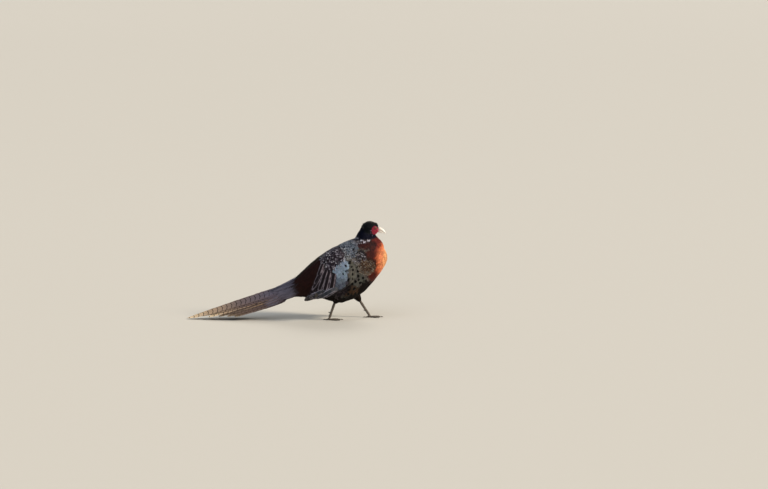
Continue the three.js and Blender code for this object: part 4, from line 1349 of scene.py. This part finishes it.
# The ear tufts. A brush of narrow glossy feathers, rooted in the skin above each ear, stands back and curls
# up at its end.
EAR_ROOT, EAR_TIP, EAR_FEATHERS, EAR_HALF = (316, 17, 389), (301, 18.5, 389.5), 22, 1.2
EAR_CURL, EAR_SAG = 2.2, 2.5  # how far the tips rise, and the middles hang, mm
tuft_vane = vane_keratin("tuft vane", 1.2, (0.7, 0.2, 0.5), Roughness=0.35, Metallic=0.3)
for side, ending in SIDES:
    rng = np.random.default_rng(60 + side)
    starts = np.array(EAR_ROOT) + rng.normal(0, 1.6, (EAR_FEATHERS, 3))
    stops = np.array(EAR_TIP) + rng.normal(0, 1.8, (EAR_FEATHERS, 3)) * [1.6, 1, 1]
    starts[:, 1] *= side
    stops[:, 1] *= side
    along = np.array(LANCE[0])[None, :, None]
    shaft = starts[:, None] + (stops - starts)[:, None] * along
    shaft[:, :, 2] += EAR_CURL * along[..., 0] ** 2 - EAR_SAG * np.sin(math.pi * along[..., 0])
    ways = (stops - starts) / np.linalg.norm(stops - starts, axis=1)[:, None]
    ups = np.tile([0.1, 0.45 * side, 0.9], (EAR_FEATHERS, 1)) + rng.normal(0, 0.25, (EAR_FEATHERS, 3))
    ups -= ways * (ups * ways).sum(1)[:, None]
    ups /= np.linalg.norm(ups, axis=1)[:, None]
    across = np.cross(ways, ups)[:, None] * EAR_HALF
    lean = np.tile(ups[:, None], (1, along.size, 1))
    piece = vanes(
        f"ear_brush_{ending}", (shaft, shaft - across, shaft + across, lean), LANCE, PLAIN, [0.0],
        strip_places(rng.permutation(EAR_FEATHERS), 0.03), 62 + side,
        plain_colours(EAR_FEATHERS, "#070d12", "#0f2428", "#070d12"), 18.0, thickness=0.25,
    )
    piece.data.materials.append(tuft_vane)
    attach(piece, "root")
    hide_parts(f"ear_tuft_{ending}")

# The bill. A horn sheath over bone, ivory at the hooked tip and pinkish at the base, where a flap of skin
# half covers each nostril. It is worn smooth and shows faint growth lines along it.
BILL_ROOT_X, BILL_TIP_X = 0.366, 0.398  # where its colour starts and ends, m
NOSTRIL, NOSTRIL_OUT = (366.5, 369.5), 2.2  # (along, up) and the least distance from the middle, mm
SLIT_DEPTH, SLIT_HALF = 1.1, (3.4, 1.0)  # the nostril's depth and half sizes, mm
FLAP_RISE, FLAP_HALF, FLAP_UP = 0.55, (4.6, 1.6), 2.1  # its flap's rise, half sizes and place over it, mm
BILL_FULL, BILL_SHUT = 0.4, 0.7  # what the remeshing took off the horn, and the gap it left at the gape, mm
bill_horn, tree, shader = surface("bill horn", Roughness=0.34, IOR=1.55)
where = add(tree, "TexCoord").outputs["Object"]
split = add(tree, "SeparateXYZ", [where])
toward_tip = add(tree, "MapRange", [split.outputs["X"], BILL_ROOT_X, BILL_TIP_X])
horn = add(tree, "ValToRGB", [toward_tip])
horn.color_ramp.elements[0].color = linear("#c4868c")
horn.color_ramp.elements[1].color = linear("#efeee6")
horn.color_ramp.elements.new(0.38).color = linear("#e0d4c8")
stretched = add(tree, "Mapping", {"Vector": where, "Scale": (120.0, 900.0, 900.0)})
growth = add(tree, "TexNoise", {"Vector": stretched, "Scale": 1.0})
growth_tone = add(tree, "MapRange", [growth, 0.3, 0.7, 0.86, 1.06])
horn_toned = add(tree, "HueSaturation", {"Color": horn, "Value": growth_tone})
horn_bump = add(tree, "Bump", {"Height": growth, "Strength": 0.3, "Distance": 0.0003})
tree.links.new(horn_toned.outputs["Color"], shader.inputs["Base Color"])
tree.links.new(horn_bump.outputs["Normal"], shader.inputs["Normal"])
for node, rounds in (("bill_upper", 5), ("bill_lower", 3)):
    bill = merged_copy(f"{node}_horn", [node], voxel=0.5, rounds=rounds)
    points, normals = mesh_points(bill), mesh_normals(bill)
    if node == "bill_upper":
        ahead, above = points[:, 0] - NOSTRIL[0], points[:, 2] - NOSTRIL[1]
        beside = np.abs(points[:, 1]) > NOSTRIL_OUT
        slit = np.clip(1 - (ahead / SLIT_HALF[0]) ** 2 - (above / SLIT_HALF[1]) ** 2, 0, 1) * beside
        over = above - FLAP_UP
        flap = np.clip(1 - (ahead / FLAP_HALF[0]) ** 2 - (over / FLAP_HALF[1]) ** 2, 0, 1) * beside
        points += normals * (FLAP_RISE * flap - SLIT_DEPTH * slit)[:, None]
    else:
        points += [0, 0, BILL_SHUT]
    set_points(bill, points + normals * BILL_FULL)
    bill.data.materials.append(bill_horn)
    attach(bill, "root")
    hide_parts(node)

# The legs. Tough skin over the shank and toes, plated in front with two rows of horny scutes that overlap
# like tiles and behind and at the sides with small scales. Each toe carries one row of scutes on top.
SHANKS = {"right": ((183, -26, 68), (163, -22, 9)), "left": ((290, 43, 63), (325, 42, 9))}
SCUTE = ([0, 0.12, 0.4, 0.68, 0.88, 0.97, 1], [0, 0.75, 0.95, 1.0, 0.82, 0.45, 0])
SCUTE_ACROSS = [-1, -0.6, 0, 0.6, 1]
SHANK_SCUTES = (  # how far round from the front, degrees, and pitch, length and half width, mm
    (-34, 3.7, 5.6, 3.1), (34, 3.7, 5.6, 3.1), (146, 3.0, 4.4, 2.3), (214, 3.0, 4.4, 2.3),
    (-86, 2.4, 3.2, 1.7), (86, 2.4, 3.2, 1.7), (-112, 2.4, 3.2, 1.6), (112, 2.4, 3.2, 1.6),
    (180, 2.6, 3.6, 1.8),
)
SHANK_FIRST, SHANK_SPARED = 3, 8  # where its rows start, and what they leave free at both ends, mm
TOES = {"middle": 2.0, "inner": 2.0, "outer": 2.0, "hind": 1.6}  # each one's scutes by their half width, mm
TOE_PITCH, TOE_SCUTE = 2.9, 4.0  # from row to row, and each one's length, mm
TOE_FIRST, TOE_SPARED = 3, 9  # where a toe's row starts, and what it leaves free at both ends, mm
HOCK_REACH = 15  # how far the shank runs up inside the thigh's feathers, mm
SHANK_FULL = 1.0  # what the tendons and the thick skin add round the shank, mm
SCUTE_LOW = 1.2  # how near the floor a scute's tip may come, mm
SEEN_FROM, SEEN_FROM_ABOVE = 16, 30  # how far off the plates are laid on the leg from, mm

# Leg skin: dry and matt, cracked into small grains 1.6 mm across, with painted shade in the grooves between
# them.
leg_skin, tree, shader = surface("leg skin", Roughness=0.6, IOR=1.5)
where = add(tree, "TexCoord").outputs["Object"]
scales = add(tree, "TexVoronoi", {"Vector": where, "Scale": 620.0}, feature="DISTANCE_TO_EDGE")
# Painted shade: the grooves between the grains, low in the relief, are darkened in the skin's colour.
groove_depth_and_shade = add(tree, "MapRange", [scales, 0.0, 0.2, 0.55, 1.0])
groove_shaded_skin = add(tree, "HueSaturation", {"Color": linear("#5d5248"), "Value": groove_depth_and_shade})
scale_bump = add(tree, "Bump", {"Height": groove_depth_and_shade, "Strength": 0.6, "Distance": 0.0004})
tree.links.new(groove_shaded_skin.outputs["Color"], shader.inputs["Base Color"])
tree.links.new(scale_bump.outputs["Normal"], shader.inputs["Normal"])
scute_horn = vane_keratin(
    "scute horn", 3, (0.78, 0.1, 0.7), 1.0, Roughness=0.42, IOR=1.55, Specular_IOR_Level=0.5
)
for ending, (hock, sole) in SHANKS.items():
    leg = merged_copy(f"leg_{ending}", [f"tarsus_{ending}", f"foot_{ending}"], voxel=0.8, rounds=3)
    points = mesh_points(leg)
    upward = (np.array(hock) - sole) / math.dist(hock, sole)
    points = points + upward * (HOCK_REACH * smooth_step(-10, 0, (points - hock) @ upward))[:, None]
    set_points(leg, points + mesh_normals(leg) * (SHANK_FULL * smooth_step(6, 14, points[:, 2]))[:, None])
    leg_tree, leg_leans = draping_form(leg)
    leg.data.materials.append(leg_skin)
    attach(leg, "root")
    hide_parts(f"tarsus_{ending}", f"foot_{ending}")

    hock, sole = Vector(hock), Vector(sole)
    down = (sole - hock).normalized()
    aside = Vector((0, 1, 0))
    front = aside.cross(down).normalized()
    front = front if front.x > 0 else -front
    plates = []
    for turn, pitch, long, half in SHANK_SCUTES:
        angle = math.radians(turn)
        outward = front * math.cos(angle) + aside * math.sin(angle)
        shift = 0.5 if turn > 0 else 0.0
        for step in range(int(((sole - hock).length - SHANK_SPARED) / pitch)):
            spot = hock + down * (SHANK_FIRST + (step + shift) * pitch)
            plates.append((spot + outward * SEEN_FROM, -outward, down, long, half))
    for toe, half in TOES.items():
        low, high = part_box(f"claw_{toe}_{ending}")
        claw = Vector(millimetres((low + high) / 2))
        start = Vector((sole.x, sole.y, 0))
        flat_way = Vector((claw.x - start.x, claw.y - start.y, 0))
        steps = int((flat_way.length - TOE_SPARED) / TOE_PITCH)
        flat_way.normalize()
        for step in range(steps):
            above = start + flat_way * (TOE_FIRST + step * TOE_PITCH) + Vector((0, 0, SEEN_FROM_ABOVE))
            plates.append((above, Vector((0, 0, -1)), flat_way, TOE_SCUTE, half))
    found = []
    for start, inward, way, long, half in plates:
        hit, _, face, _ = leg_tree.ray_cast(start, inward)
        if hit and hit.z + way.z * long > SCUTE_LOW:
            found.append((hit, leg_leans[face], way, long, half))
    hits, leans, ways, longs, halves = zip(*found)
    lines = drape((leg_tree, leg_leans), hits, leans, ways, longs, halves, SCUTE[0])
    piece = vanes(
        f"leg_scutes_{ending}", lines, SCUTE, SCUTE_ACROSS, 0.05 + 0.55 * np.array(SCUTE[0]),
        tiled_places(len(found)), 70, plain_colours(len(found), "#5f554a", "#302a24", "#5f554a"), 5.0,
        thickness=0.4, camber=0.25, curl=0.1, uneven=0.1, ragged=0.03, splits=0, fringe=0.01,
    )
    piece.data.materials.append(scute_horn)
    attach(piece, "root")

# The claws and spurs. Solid horn sheaths over the ends of the bones, nearly black. Walking wears them smooth
# and leaves paler patches about 2.4 mm across.
claw_horn, tree, shader = surface("claw horn", Roughness=0.3, IOR=1.55)
where = add(tree, "TexCoord").outputs["Object"]
wear = add(tree, "TexNoise", {"Vector": where, "Scale": 420.0, "Detail": 3.0})
claw_tone = add(tree, "ValToRGB", [wear])
claw_tone.color_ramp.elements[0].position = 0.35
claw_tone.color_ramp.elements[0].color = linear("#1d1713")
claw_tone.color_ramp.elements[1].position = 0.7
claw_tone.color_ramp.elements[1].color = linear("#4b3f33")
tree.links.new(claw_tone.outputs["Color"], shader.inputs["Base Color"])
for ending in SHANKS:
    for node in [f"claw_{toe}_{ending}" for toe in TOES] + [f"spur_{ending}"]:
        sheath = merged_copy(f"{node}_horn", [node], voxel=0.3, rounds=3)
        sheath.data.materials.append(claw_horn)
        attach(sheath, "root")
        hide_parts(node)

bpy.data.objects.remove(form)
